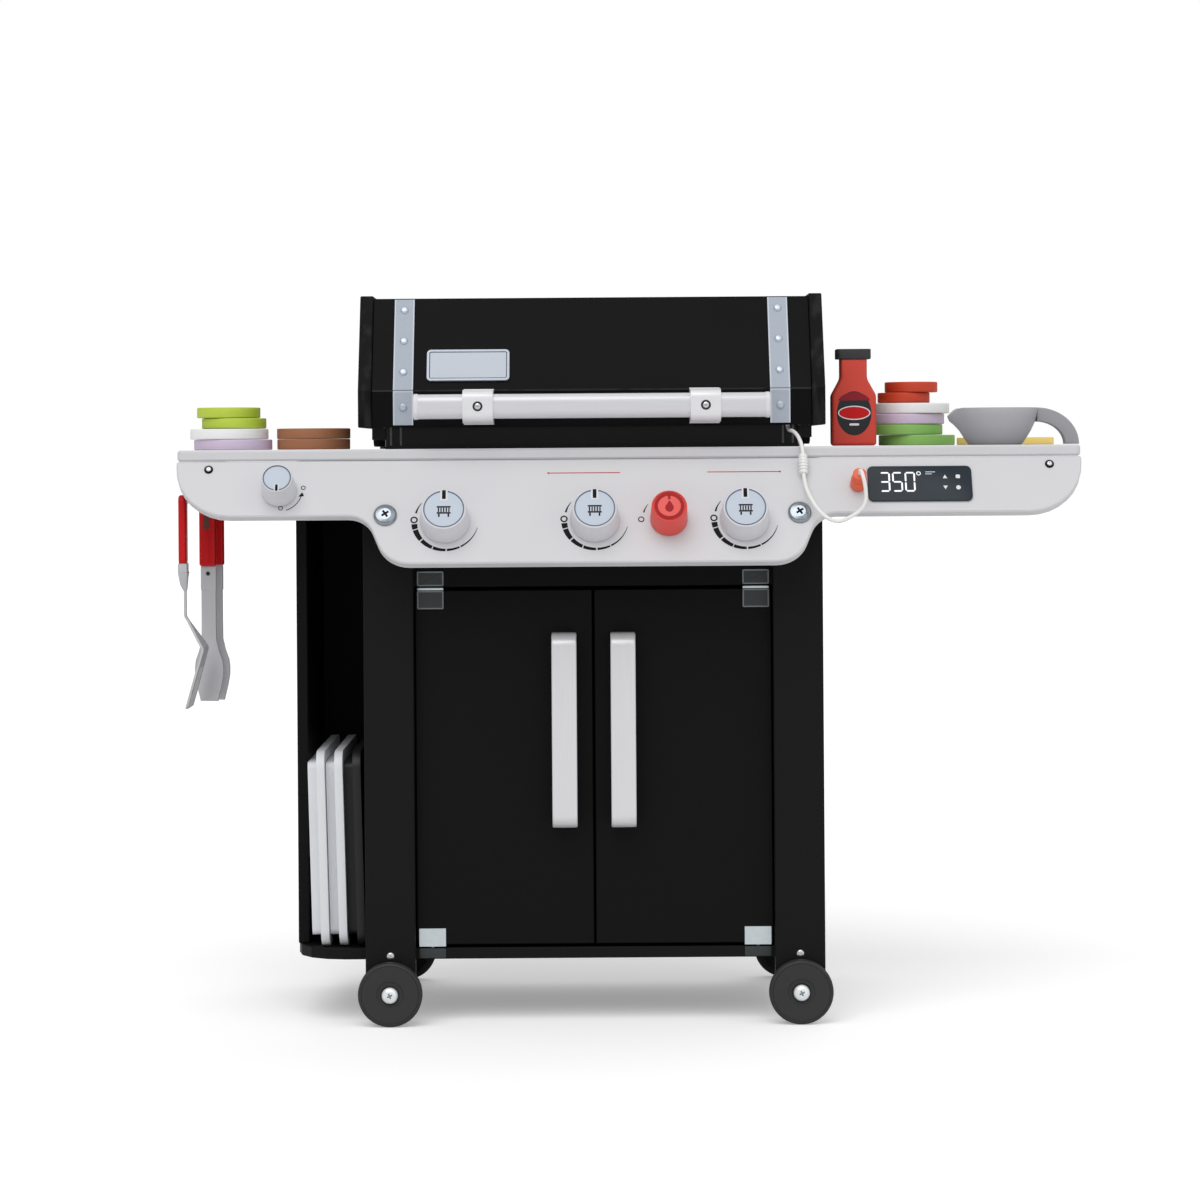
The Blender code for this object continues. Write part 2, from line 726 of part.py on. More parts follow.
def deck_board(frame):
    outline = rounded_box(-DECK_LEFT, DECK_RIGHT, -DECK_FRONT, DECK_BACK, DECK_CORNER)
    shape = bmesh.new()
    add_plate(shape, outline, DECK_UNDER, DECK_TOP, "XY")
    obj = piece("deck_board", shape, "white board", frame, DECK_EDGE)
    opening = bmesh.new()
    half = FIREBOX_HALF + FIREBOX_FIT
    around = rounded_box(
        -half, half, FIREBOX_FRONT - FIREBOX_FIT, FIREBOX_BACK + FIREBOX_FIT, FIREBOX_CORNER + FIREBOX_FIT
    )
    add_plate(opening, around, DECK_UNDER - OVERRUN, DECK_TOP + OVERRUN, "XY")
    carve(obj, opening, "firebox opening")


def panel_outline():
    """The control panel's front view, with X across and Z up its slope from the deck."""
    table_corner = min(TABLE_CORNER, TABLE_DROP * 0.92)
    return rounded(
        (
            (-DECK_LEFT, 0, 0),
            (-DECK_LEFT, -TABLE_DROP, table_corner),
            (-MIDDLE_HALF_TOP, -TABLE_DROP, NECK_CORNER),
            (-MIDDLE_HALF_BOTTOM, -MIDDLE_DROP, MIDDLE_CORNER),
            (MIDDLE_HALF_BOTTOM, -MIDDLE_DROP, MIDDLE_CORNER),
            (MIDDLE_HALF_TOP, -TABLE_DROP, NECK_CORNER),
            (DECK_RIGHT, -TABLE_DROP, table_corner),
            (DECK_RIGHT, 0, 0),
        ),
        CURVE_STEPS,
    )


def knob_places():
    """Each knob's name, distance across and distance down the panel."""
    sides = ("left", "centre", "right")
    places = [("knob_" + side, across, KNOB_DOWN) for side, across in zip(sides, KNOB_ACROSS)]
    places.append(("ignition_knob", RED_KNOB_ACROSS, KNOB_DOWN))
    places.append(("side_knob", SIDE_KNOB_ACROSS, SIDE_KNOB_DOWN))
    return places


def screw_places():
    return (-DECK_LEFT + SCREW_FROM_END, DECK_RIGHT - SCREW_FROM_END)


def control_panel(frame):
    shape = bmesh.new()
    add_plate(shape, panel_outline(), 0, PANEL_THICK)
    mitre = PANEL_THICK * math.tan(TILT)
    for vert in shape.verts:
        if vert.co.z > -EDGE and vert.co.y > 0:
            vert.co.z += mitre
    obj = piece("control_panel", shape, "white board", frame, PANEL_EDGE)
    holes = bmesh.new()
    deep = PANEL_THICK + OVERRUN
    for name, across, down in knob_places():
        add_rod(holes, STEM_RADIUS + RUNNING, -OVERRUN, deep, at(across, 0, -down, FACING_BACK))
    for across in (-PANEL_BOLT_ACROSS, PANEL_BOLT_ACROSS):
        add_rod(holes, PANEL_BOLT_RADIUS + GAP, -OVERRUN, deep, at(across, 0, -TABLE_DROP, FACING_BACK))
    for across in screw_places():
        add_rod(holes, SCREW_RADIUS + GAP, -OVERRUN, deep, at(across, 0, -SCREW_DOWN, FACING_BACK))
    add_rod(holes, PLUG_PIN_RADIUS + GAP, -OVERRUN, deep, at(PLUG_ACROSS, 0, -PLUG_DOWN, FACING_BACK))
    carve(obj, holes, "bores")


def panel_back_at(height):
    """How deep the panel's rear face is at a height of the cabinet's frame, with a gap behind it."""
    top = -DECK_FRONT + (PANEL_THICK + GAP) / math.cos(TILT)
    return top - (BOARDS_TOP - height) * math.tan(TILT)


def panel_batten(frame, panel):
    """The wedge-shaped batten behind the leaning panel, with the bolts that hold the panel to it."""
    top = BOARDS_TOP
    low = top - BATTEN_TALL
    foot = top - GUSSET_TALL
    left, right = screw_places()
    corners = [(right + BATTEN_END, top), (left - BATTEN_END, top), (left - BATTEN_END, low)]
    for middle in (-PANEL_BOLT_ACROSS, PANEL_BOLT_ACROSS):
        near = middle - GUSSET_WIDE / 2
        far = middle + GUSSET_WIDE / 2
        corners.extend(((near, low), (near, foot), (far, foot), (far, low)))
    corners.append((right + BATTEN_END, low))
    shape = bmesh.new()
    add_plate(shape, corners, -GAP, 0)
    for vert in shape.verts:
        vert.co.y = -GAP if vert.co.y else panel_back_at(vert.co.z)
    obj = piece("panel_batten", shape, "black board", frame)
    studs = bmesh.new()
    lean = Matrix.Translation(panel.location) @ Matrix.Rotation(-TILT, 4, "X")
    profile = bolt_profile(PANEL_BOLT_HEAD_RADIUS, PANEL_BOLT_HEAD, PANEL_BOLT_RADIUS, PANEL_BOLT_LONG)
    for across in (-PANEL_BOLT_ACROSS, PANEL_BOLT_ACROSS):
        add_turned(studs, profile, lean @ at(across, 0, -TABLE_DROP, FACING_FRONT))
    profile = bolt_profile(SCREW_HEAD_RADIUS, SCREW_HEAD, SCREW_RADIUS, SCREW_LONG)
    for across in (left, right):
        add_turned(studs, profile, lean @ at(across, 0, -SCREW_DOWN, FACING_FRONT), SMALL_STEPS)
    carve(obj, studs, "bolts and screws", "UNION")


def bolt_profile(head_radius, head, radius, long):
    """A domed head standing on height 0, over a shank that reaches down from it."""
    return [
        (0, -long),
        (radius, -long),
        (radius, GAP),
        (head_radius, GAP),
        (head_radius, head * 0.45),
        (head_radius * 0.8, head * 0.85),
        (head_radius * 0.4, head),
        (0, head),
    ]


def display(panel):
    shape = bmesh.new()
    right = DISPLAY_LEFT + DISPLAY_WIDE
    outline = rounded_box(DISPLAY_LEFT, right, -DISPLAY_DOWN - DISPLAY_TALL, -DISPLAY_DOWN, DISPLAY_CORNER)
    add_plate(shape, outline, -GAP - DISPLAY_THICK, -GAP)
    piece("display", shape, "screen black", panel, DISPLAY_THICK / 4)


def knob_profile(foot, cap, tall):
    """A tapered knob with a stem behind, a rounded rim and a groove round its inset cap."""
    face = cap - KNOB_ROUND - KNOB_RIM
    return [
        (0, -PANEL_THICK),
        (STEM_RADIUS, -PANEL_THICK),
        (STEM_RADIUS, GAP),
        (foot, GAP),
        (cap, tall - KNOB_ROUND),
        (cap - KNOB_ROUND, tall),
        (face, tall),
        (face - KNOB_GROOVE / 2, tall - KNOB_GROOVE),
        (face - KNOB_GROOVE, tall),
        (0, tall),
    ]


def knob(name, across, down, sizes, finish, pointing, panel):
    """One knob on its own frame, whose Z stands out of the panel, with a pointer bar on its cap."""
    foot, cap, tall = sizes
    turn = (math.radians(90), 0.0, 0.0)
    axis = frame_empty(name + "_axis", (across, 0, -down), panel, turn)
    shape = bmesh.new()
    add_turned(shape, knob_profile(foot, cap, tall))
    obj = piece(name, shape, finish, axis)
    if not pointing:
        return
    bar = bmesh.new()
    outer = cap - KNOB_ROUND - KNOB_RIM - 2 * KNOB_GROOVE
    ends = sorted((pointing * outer, pointing * (outer - POINTER_LONG)))
    half = POINTER_WIDE / 2
    add_box(bar, (-half, ends[0], tall - KNOB_GROOVE), (half, ends[1], tall + POINTER_RISE))
    carve(obj, bar, "pointer", "UNION")


def knobs(panel):
    large = (KNOB_FOOT_RADIUS, KNOB_CAP_RADIUS, KNOB_TALL)
    red = (RED_KNOB_FOOT_RADIUS, RED_KNOB_CAP_RADIUS, RED_KNOB_TALL)
    side = (SIDE_KNOB_FOOT_RADIUS, SIDE_KNOB_CAP_RADIUS, SIDE_KNOB_TALL)
    for name, across, down in knob_places():
        if name == "ignition_knob":
            knob(name, across, down, red, "red", 0, panel)
        elif name == "side_knob":
            knob(name, across, down, side, "white plastic", -1, panel)
        else:
            knob(name, across, down, large, "white plastic", 1, panel)


def ribbed_profile(radius, start, end, rib, count):
    """The outer side of a sleeve, from start to end, with rounded ribs round it."""
    profile = []
    pitch = (end - start) / count
    for step in range(count):
        low = start + step * pitch
        profile.append((radius - rib, low))
        profile.append((radius, low + pitch * 0.3))
        profile.append((radius, low + pitch * 0.7))
    profile.append((radius - rib, end))
    return profile


def probe_plug(panel):
    shape = bmesh.new()
    body = PLUG_LONG * 0.55
    profile = [(0, -PANEL_THICK), (PLUG_PIN_RADIUS, -PANEL_THICK), (PLUG_PIN_RADIUS, GAP), (PLUG_RADIUS, GAP)]
    profile.append((PLUG_RADIUS, body))
    profile.extend(ribbed_profile(PLUG_NOSE_RADIUS, body + PLUG_RIB, PLUG_LONG, PLUG_RIB, PLUG_RIBS))
    profile.append((0, PLUG_LONG))
    add_turned(shape, profile, at(PLUG_ACROSS, 0, -PLUG_DOWN, FACING_FRONT), SMALL_STEPS)
    piece("probe_plug", shape, "orange red", panel)


def smooth_route(points, step):
    """Points about a step apart on one smooth curve through the chosen points."""
    spots = [Vector(point) for point in points]
    ends = [2 * spots[0] - spots[1], *spots, 2 * spots[-1] - spots[-2]]
    route = []
    for first, start, end, last in zip(ends, ends[1:], ends[2:], ends[3:]):
        count = max(1, round((end - start).length / step))
        for part in range(count):
            share = part / count
            bend = (2 * first - 5 * start + 4 * end - last) * share**2
            twist = (3 * start - first - 3 * end + last) * share**3
            route.append((2 * start + (end - first) * share + bend + twist) / 2)
    route.append(spots[-1])
    return route


def tube(name, route, radius, finish, frame):
    """A round cord along a route of points, with closed ends."""
    curve = bpy.data.curves.new(name, "CURVE")
    curve.dimensions = "3D"
    curve.bevel_depth = radius
    curve.bevel_resolution = 1
    curve.use_fill_caps = True
    spline = curve.splines.new("POLY")
    spline.points.add(len(route) - 1)
    for point, place in zip(spline.points, route):
        point.co = (*place, 1.0)
    curve.materials.append(finish_material(finish))
    obj = bpy.data.objects.new(name, curve)
    obj.parent = frame
    bpy.context.scene.collection.objects.link(obj)


def add_bent_rod(shape, route, radius, steps):
    """A round rod along a route that stays in one upright plane."""
    first = (route[1] - route[0]).normalized()
    level = first.cross(Vector((0, 0, 1))).normalized()
    rings = []
    for step, spot in enumerate(route):
        way = route[min(step + 1, len(route) - 1)] - route[max(step - 1, 0)]
        side = level.cross(way).normalized()
        ring = []
        for turn in range(steps):
            angle = math.tau * turn / steps
            ring.append(shape.verts.new(spot + (level * math.cos(angle) + side * math.sin(angle)) * radius))
        rings.append(ring)
    shape.faces.new(rings[0])
    shape.faces.new(rings[-1])
    for low, high in zip(rings, rings[1:]):
        for turn in range(steps):
            after = (turn + 1) % steps
            shape.faces.new([low[turn], low[after], high[after], high[turn]])


def aim(start, end):
    """The placement whose Z runs from start towards end."""
    way = Vector(end) - Vector(start)
    return Matrix.Translation(start) @ way.to_track_quat("Z", "Y").to_matrix().to_4x4()


def probe(frame):
    """The cord, and the needle on its end that lies on the grate."""
    tube("probe_cord", smooth_route(CORD_ROUTE, CORD_STEP), CORD_RADIUS, "white plastic", frame)
    last = Vector(CORD_ROUTE[-1])
    way = (last - Vector(CORD_ROUTE[-2])).normalized()
    tip = NEEDLE_HUB_LONG + NEEDLE_LONG
    profile = [
        (0, GAP),
        (NEEDLE_HUB_RADIUS, GAP),
        (NEEDLE_HUB_RADIUS, NEEDLE_HUB_LONG),
        (NEEDLE_RADIUS, NEEDLE_HUB_LONG + NEEDLE_RADIUS),
        (NEEDLE_RADIUS, tip - 4 * NEEDLE_RADIUS),
        (0, tip),
    ]
    shape = bmesh.new()
    add_turned(shape, profile, aim(last, last + way), SMALL_STEPS)
    piece("probe", shape, "zinc", frame)


def firebox(frame):
    """The open tub, with a ledge for the grate, a rim on the deck, ears for the pivots and lid stops."""
    shape = bmesh.new()
    outline = rounded_box(-FIREBOX_HALF, FIREBOX_HALF, FIREBOX_FRONT, FIREBOX_BACK, FIREBOX_CORNER)
    add_plate(shape, outline, FIREBOX_FLOOR, RIM_TOP, "XY")
    obj = piece("firebox", shape, "black metal", frame)
    extras = bmesh.new()
    rim = rounded_box(
        -FIREBOX_HALF - RIM_WIDE,
        FIREBOX_HALF + RIM_WIDE,
        FIREBOX_FRONT - RIM_WIDE,
        FIREBOX_BACK + RIM_WIDE,
        FIREBOX_CORNER + RIM_WIDE,
    )
    add_plate(extras, rim, DECK_TOP + GAP, DECK_TOP + GAP + RIM_THICK, "XY")
    carve(obj, extras, "rim", "UNION")
    lugs = bmesh.new()
    stop_front = FIREBOX_FRONT + FIREBOX_CORNER + STOP_SETBACK
    stop_top = LID_BOTTOM - GAP
    for side in (-1, 1):
        edges = sorted((side * (FIREBOX_HALF - FIREBOX_WALL / 2), side * (LID_INNER + STOP_OVERLAP)))
        low = (edges[0], stop_front, stop_top - STOP_TALL)
        add_box(lugs, low, (edges[1], stop_front + STOP_DEPTH, stop_top))
        inner = side * (FIREBOX_HALF - FIREBOX_WALL)
        ear = ear_outline()
        add_plate(lugs, ear, *sorted((inner, side * FIREBOX_HALF)), "YZ")
    carve(obj, lugs, "ears and stops", "UNION")
    hollow = bmesh.new()
    inset = FIREBOX_WALL
    inner = rounded_box(
        -FIREBOX_HALF + inset,
        FIREBOX_HALF - inset,
        FIREBOX_FRONT + inset,
        FIREBOX_BACK - inset,
        FIREBOX_CORNER - inset / 2,
    )
    add_plate(hollow, inner, LEDGE_HEIGHT, RIM_TOP + OVERRUN, "XY")
    carve(obj, hollow, "upper hollow")
    pit = bmesh.new()
    inset = FIREBOX_WALL + LEDGE_WIDE
    inner = rounded_box(
        -FIREBOX_HALF + inset,
        FIREBOX_HALF - inset,
        FIREBOX_FRONT + inset,
        FIREBOX_BACK - inset,
        FIREBOX_CORNER - FIREBOX_WALL / 2,
    )
    add_plate(pit, inner, FIREBOX_FLOOR + FIREBOX_WALL, LEDGE_HEIGHT + OVERRUN, "XY")
    carve(obj, pit, "lower hollow")
    pins = bmesh.new()
    shoulder = LID_INNER - FIREBOX_HALF - GAP
    profile = [
        (0, -FIREBOX_WALL / 2),
        (PIVOT_BOSS_RADIUS, -FIREBOX_WALL / 2),
        (PIVOT_BOSS_RADIUS, shoulder),
        (PIVOT_PIN_RADIUS, shoulder),
        (PIVOT_PIN_RADIUS, shoulder + LID_SIDE),
        (0, shoulder + LID_SIDE),
    ]
    for side, facing in ((-1, FACING_LEFT), (1, FACING_RIGHT)):
        add_turned(pins, profile, at(side * FIREBOX_HALF, LID_PIVOT_Y, LID_PIVOT_HEIGHT, facing))
    carve(obj, pins, "lid pins", "UNION")


def ear_outline():
    """The ear behind the tub's side wall: a strip that ends in a round eye about the lid's pivot."""
    start = FIREBOX_BACK - FIREBOX_WALL
    low = LID_PIVOT_HEIGHT - EAR_RADIUS
    high = LID_PIVOT_HEIGHT + EAR_RADIUS
    end = LID_PIVOT_Y + EAR_RADIUS
    eye = EAR_RADIUS * 0.98
    return rounded(((start, low, 0), (end, low, eye), (end, high, eye), (start, high, 0)))


def cooking_grate(frame):
    half = FIREBOX_HALF - FIREBOX_WALL - RUNNING
    front = FIREBOX_FRONT + FIREBOX_WALL + RUNNING
    back = FIREBOX_BACK - FIREBOX_WALL - RUNNING
    low = LEDGE_HEIGHT + GAP
    shape = bmesh.new()
    corner = FIREBOX_CORNER - FIREBOX_WALL / 2
    add_plate(shape, rounded_box(-half, half, front, back, corner), low, low + GRATE_THICK, "XY")
    obj = piece("cooking_grate", shape, "black metal", frame)
    slots = bmesh.new()
    border = LEDGE_WIDE
    pitch = (2 * half - 2 * border + GRATE_BAR) / GRATE_SLOTS
    row = (back - front - 2 * border + GRATE_BAR) / GRATE_ROWS
    for column in range(GRATE_SLOTS):
        left = -half + border + column * pitch
        for line in range(GRATE_ROWS):
            near = front + border + line * row
            corner_low = (left, near, low - OVERRUN)
            corner_high = (left + pitch - GRATE_BAR, near + row - GRATE_BAR, low + GRATE_THICK + OVERRUN)
            add_box(slots, corner_low, corner_high)
    carve(obj, slots, "slots")


def lid_outer():
    """The lid's outside in side view, from the front's lower edge over the top to the back's lower edge."""
    return [
        Vector((LID_FRONT, LID_BOTTOM)),
        Vector((LID_FRONT, LID_SEAM)),
        Vector((LID_SLOPE_BACK, LID_TOP)),
        Vector((LID_REAR, LID_TOP)),
        Vector((LID_REAR, LID_BOTTOM + LID_BACK_RISE)),
    ]


def offset_path(path, distance):
    """The path moved to its right by a distance, with mitred corners."""
    moved = []
    for step, spot in enumerate(path):
        before = (spot - path[step - 1]).normalized() if step else None
        after = (path[step + 1] - spot).normalized() if step + 1 < len(path) else None
        before = before or after
        after = after or before
        normal = Vector((before.y, -before.x)) + Vector((after.y, -after.x))
        normal /= 1 + before.dot(after)
        moved.append(spot + normal * distance)
    return moved


def lid_board_outline(step):
    """One lid board in side view, mitred to its neighbours with a gap between."""
    outer = lid_outer()
    inner = offset_path(outer, LID_BOARD)
    way = (outer[step + 1] - outer[step]).normalized() * GAP / 2
    return [outer[step] + way, outer[step + 1] - way, inner[step + 1] - way, inner[step] + way]


def lid_side_outline():
    """A lid side board: the lid's outside stood proud, with a round eye about the pivot."""
    path = offset_path(lid_outer(), -LID_PROUD)
    front = [Vector((path[0].x, LID_BOTTOM)), path[1], path[2]]
    rear_top = Vector((LID_REAR, path[3].y))
    outline = front + [rear_top]
    for step in range(2 * ARC_STEPS + 1):
        angle = -math.pi * step / (2 * ARC_STEPS)
        reach = Vector((math.cos(angle), math.sin(angle))) * LID_PIVOT_RADIUS
        outline.append(Vector((LID_PIVOT_Y, LID_PIVOT_HEIGHT)) + reach)
    outline.append(Vector((LID_PIVOT_Y - LID_PIVOT_RADIUS, LID_BOTTOM)))
    return outline


def lid(pivot):
    """The lid's boards, which turn together about the pins on the firebox's ears."""
    home = Matrix.Translation(-pivot.location)
    half = LID_INNER - GAP
    for step, name in enumerate(("lid_front_lower", "lid_front_upper", "lid_top", "lid_back")):
        shape = bmesh.new()
        add_plate(shape, lid_board_outline(step), -half, half, "YZ")
        shape.transform(home)
        piece(name, shape, "black board", pivot, EDGE / 2)
    for name, side, facing in (("lid_side_left", -1, FACING_LEFT), ("lid_side_right", 1, FACING_RIGHT)):
        shape = bmesh.new()
        hole = bmesh.new()
        add_plate(shape, lid_side_outline(), *sorted((side * LID_INNER, side * LID_HALF)), "YZ")
        place = at(side * LID_INNER, LID_PIVOT_Y, LID_PIVOT_HEIGHT, facing)
        add_rod(hole, PIVOT_PIN_RADIUS + RUNNING, -OVERRUN, LID_SIDE + OVERRUN, place, ROUND_STEPS)
        shape.transform(home)
        hole.transform(home)
        obj = piece(name, shape, "black board", pivot, EDGE)
        carve(obj, hole, "pivot hole")


def slope_frame(pivot):
    """A frame on the sloping lid board: X across, Z up the slope from the seam, -Y out of the board."""
    outer = lid_outer()
    way = outer[2] - outer[1]
    lean = math.atan2(way.x, way.y)
    place = Vector((0, outer[1].x, outer[1].y)) - pivot.location
    return frame_empty("lid_slope", place, pivot, (-lean, 0, 0))


def rivet_profile():
    return [
        (0, -STRAP_THICK / 2),
        (RIVET_RADIUS, -STRAP_THICK / 2),
        (RIVET_RADIUS, 0),
        (RIVET_RADIUS * 0.75, RIVET_RISE * 0.7),
        (0, RIVET_RISE),
    ]


def lid_straps(pivot):
    """Two metal straps with domed rivets, each bent over the seam between the lid's front boards."""
    seat = offset_path(lid_outer()[:3], -GAP)
    face = offset_path(lid_outer()[:3], -GAP - STRAP_THICK)
    home = Matrix.Translation(-pivot.location)
    for name, middle in (("lid_strap_left", -STRAP_OUT), ("lid_strap_right", STRAP_OUT)):
        shape = bmesh.new()
        outline = []
        for path in (seat, face):
            run = list(path)
            run[0] = run[0] + (run[1] - run[0]).normalized() * STRAP_END
            run[2] = run[2] + (run[1] - run[2]).normalized() * STRAP_END
            outline.extend(run if path is seat else reversed(run))
        add_plate(shape, outline, middle - STRAP_WIDE / 2, middle + STRAP_WIDE / 2, "YZ")
        domes = bmesh.new()
        for step, shares in ((0, LOWER_RIVET_SHARES), (1, UPPER_RIVET_SHARES)):
            for share in shares:
                spot = face[step].lerp(face[step + 1], share)
                way = face[step + 1] - face[step]
                out = Vector((0, -way.y, way.x))
                spot = Vector((middle, spot.x, spot.y))
                add_turned(domes, rivet_profile(), aim(spot, spot + out), SMALL_STEPS)
        shape.transform(home)
        domes.transform(home)
        obj = piece(name, shape, "strap blue", pivot)
        carve(obj, domes, "rivets", "UNION")


def lid_badge(slope):
    """A bare plate with a raised border."""
    right = -BADGE_LEFT + BADGE_WIDE
    shape = bmesh.new()
    outline = rounded_box(-BADGE_LEFT, right, BADGE_ALONG, BADGE_ALONG + BADGE_TALL, BADGE_CORNER)
    add_plate(shape, outline, -GAP - BADGE_THICK, -GAP)
    obj = piece("lid_badge", shape, "silver", slope)
    recess = bmesh.new()
    border = BADGE_THICK
    field = rounded_box(
        -BADGE_LEFT + border,
        right - border,
        BADGE_ALONG + border,
        BADGE_ALONG + BADGE_TALL - border,
        BADGE_CORNER - border / 2,
    )
    add_plate(recess, field, -GAP - BADGE_THICK - OVERRUN, -GAP - BADGE_THICK * 0.6)
    carve(obj, recess, "field")


def lid_handle(pivot):
    """The bar across the lid's front, moulded with its two brackets and their screw heads."""
    home = Matrix.Translation(-pivot.location)
    near = LID_FRONT - HANDLE_OUT
    far = near - HANDLE_DEEP
    low = HANDLE_HEIGHT - HANDLE_TALL / 2
    bar = rounded_box(far, near, low, low + HANDLE_TALL, HANDLE_ROUND, ARC_STEPS // 2)
    shape = bmesh.new()
    add_plate(shape, bar, -HANDLE_HALF, HANDLE_HALF, "YZ")
    brackets = bmesh.new()
    heads = bmesh.new()
    front = far - CLIP_FRONT
    back = LID_FRONT - GAP
    low = HANDLE_HEIGHT - CLIP_TALL / 2
    high = low + CLIP_TALL
    outline = rounded(((front, low, CLIP_ROUND), (back, low, 0), (back, high, 0), (front, high, CLIP_ROUND)))
    profile = bolt_profile(CLIP_SCREW_RADIUS, CLIP_FRONT / 2, CLIP_SCREW_RADIUS / 2, CLIP_FRONT)
    for middle in (-CLIP_OUT, CLIP_OUT):
        add_plate(brackets, outline, middle - CLIP_WIDE / 2, middle + CLIP_WIDE / 2, "YZ")
        add_turned(heads, profile, at(middle, front, HANDLE_HEIGHT, FACING_FRONT), SMALL_STEPS)
    for part in (shape, brackets, heads):
        part.transform(home)
    obj = piece("lid_handle", shape, "silver", pivot, EDGE)
    carve(obj, brackets, "brackets", "UNION")
    carve(obj, heads, "screw heads", "UNION")


def hinge(name, side, top, pivot):
    """A plate on the door's front whose folded flange carries the pin that the door turns on."""
    way = 1 if top else -1
    face = (DOOR_TOP if top else DOOR_BOTTOM) + way * GAP
    tall = DOOR_PLATE_TALL if top else FOOT_PLATE_TALL
    front = DOOR_FRONT - GAP - HINGE_SHEET
    leaf_back = DOOR_FRONT - GAP
    outer = face + way * HINGE_SHEET
    end = face - way * tall
    corners = [(front, end), (front, outer), (DOOR_BACK, outer), (DOOR_BACK, face)]
    corners += [(leaf_back, face), (leaf_back, end)]
    home = Matrix.Translation(-pivot.location)
    middle = side * DOOR_PIVOT_X
    shape = bmesh.new()
    add_plate(shape, corners, middle - HINGE_WIDE / 2, middle + HINGE_WIDE / 2, "YZ")
    board_face = RAIL_BOTTOM if top else SHELF_TOP
    reach = sorted((face + way * HINGE_SHEET / 2, board_face + way * HINGE_PIN_DEEP))
    pin = bmesh.new()
    add_rod(pin, HINGE_PIN_RADIUS, *reach, at(middle, DOOR_PIVOT_Y, 0))
    shape.transform(home)
    pin.transform(home)
    obj = piece(name, shape, "hinge grey", pivot)
    carve(obj, pin, "pin", "UNION")


def door(name, side, frame):
    """A door board on its pivot, with its two hinges and its strap pull."""
    pivot = frame_empty(f"door_{name}_pivot", (side * DOOR_PIVOT_X, DOOR_PIVOT_Y, 0), frame)
    home = Matrix.Translation(-pivot.location)
    edges = sorted((side * DOOR_SEAM / 2, side * (DOOR_SEAM / 2 + DOOR_WIDE)))
    shape = bmesh.new()
    add_box(shape, (edges[0], DOOR_FRONT, DOOR_BOTTOM), (edges[1], DOOR_BACK, DOOR_TOP))
    shape.transform(home)
    piece("door_" + name, shape, "black board", pivot, EDGE)
    hinge("hinge_top_" + name, side, True, pivot)
    hinge("hinge_bottom_" + name, side, False, pivot)
    centre = side * PULL_FROM_SEAM
    shape = bmesh.new()
    add_plate(shape, pull_outline(), centre - PULL_WIDE / 2, centre + PULL_WIDE / 2, "YZ")
    shape.transform(home)
    piece("door_pull_" + name, shape, "silver", pivot, EDGE)


def pull_outline():
    """A strap pull in side view: out from the door, round a bend, along, and back."""
    root = DOOR_FRONT - GAP
    face = DOOR_FRONT - PULL_REACH
    low = PULL_BOTTOM
    high = PULL_BOTTOM + PULL_TALL
    outer = rounded(((root, low, 0), (face, low, PULL_BEND), (face, high, PULL_BEND), (root, high, 0)))
    inner_face = face + PULL_THICK
    bend = PULL_BEND - PULL_THICK
    inner = rounded(
        (
            (root, high - PULL_THICK, 0),
            (inner_face, high - PULL_THICK, bend),
            (inner_face, low + PULL_THICK, bend),
            (root, low + PULL_THICK, 0),
        )
    )
    return outer + inner


def tool_hooks(frame):
    """A strip under the deck with two rods, each turning left at its foot through a tool's eye."""
    spatula_eye = Vector((SPATULA_ACROSS, SPATULA_Y, SPATULA_EYE_HEIGHT))
    tongs_eye = Vector((TONGS_ACROSS, TONGS_Y, TONGS_EYE_HEIGHT))
    tongs_way = Vector((math.cos(TONGS_TURN), math.sin(TONGS_TURN), 0))
    eyes = ((spatula_eye, Vector((1, 0, 0)), SPATULA_GRIP_THICK / 2), (tongs_eye, tongs_way, TONGS_EAR))
    bend = 3 * HOOK_RADIUS
    ends = []
    rods = []
    for eye, way, half in eyes:
        centre = eye + way * (half + HOOK_RADIUS) + Vector((0, 0, bend))
        route = [eye - way * half]
        for step in range(HOOK_STEPS + 1):
            angle = math.pi / 2 * step / HOOK_STEPS
            route.append(centre + (way * math.sin(angle) - Vector((0, 0, math.cos(angle)))) * bend)
        top = Vector((route[-1].x, route[-1].y, BOARDS_TOP - HOOK_STRIP / 2))
        route.append(top)
        ends.append(top)
        rod = bmesh.new()
        add_bent_rod(rod, route, HOOK_RADIUS, HOOK_STEPS)
        rods.append(rod)
    half = HOOK_STRIP_HALF
    near, far = ends
    outline = (
        (near.x - half, near.y - half / 2),
        (near.x + half, near.y - half / 2),
        (far.x + half, far.y - half),
        (far.x + half, far.y + half),
        (far.x - half, far.y + half),
        (near.x - half, near.y + half),
    )
    shape = bmesh.new()
    add_plate(shape, outline, BOARDS_TOP - HOOK_STRIP, BOARDS_TOP, "XY")
    obj = piece("tool_hooks", shape, "zinc", frame)
    for rod, label in zip(rods, ("spatula hook", "tongs hook")):
        carve(obj, rod, label, "UNION")


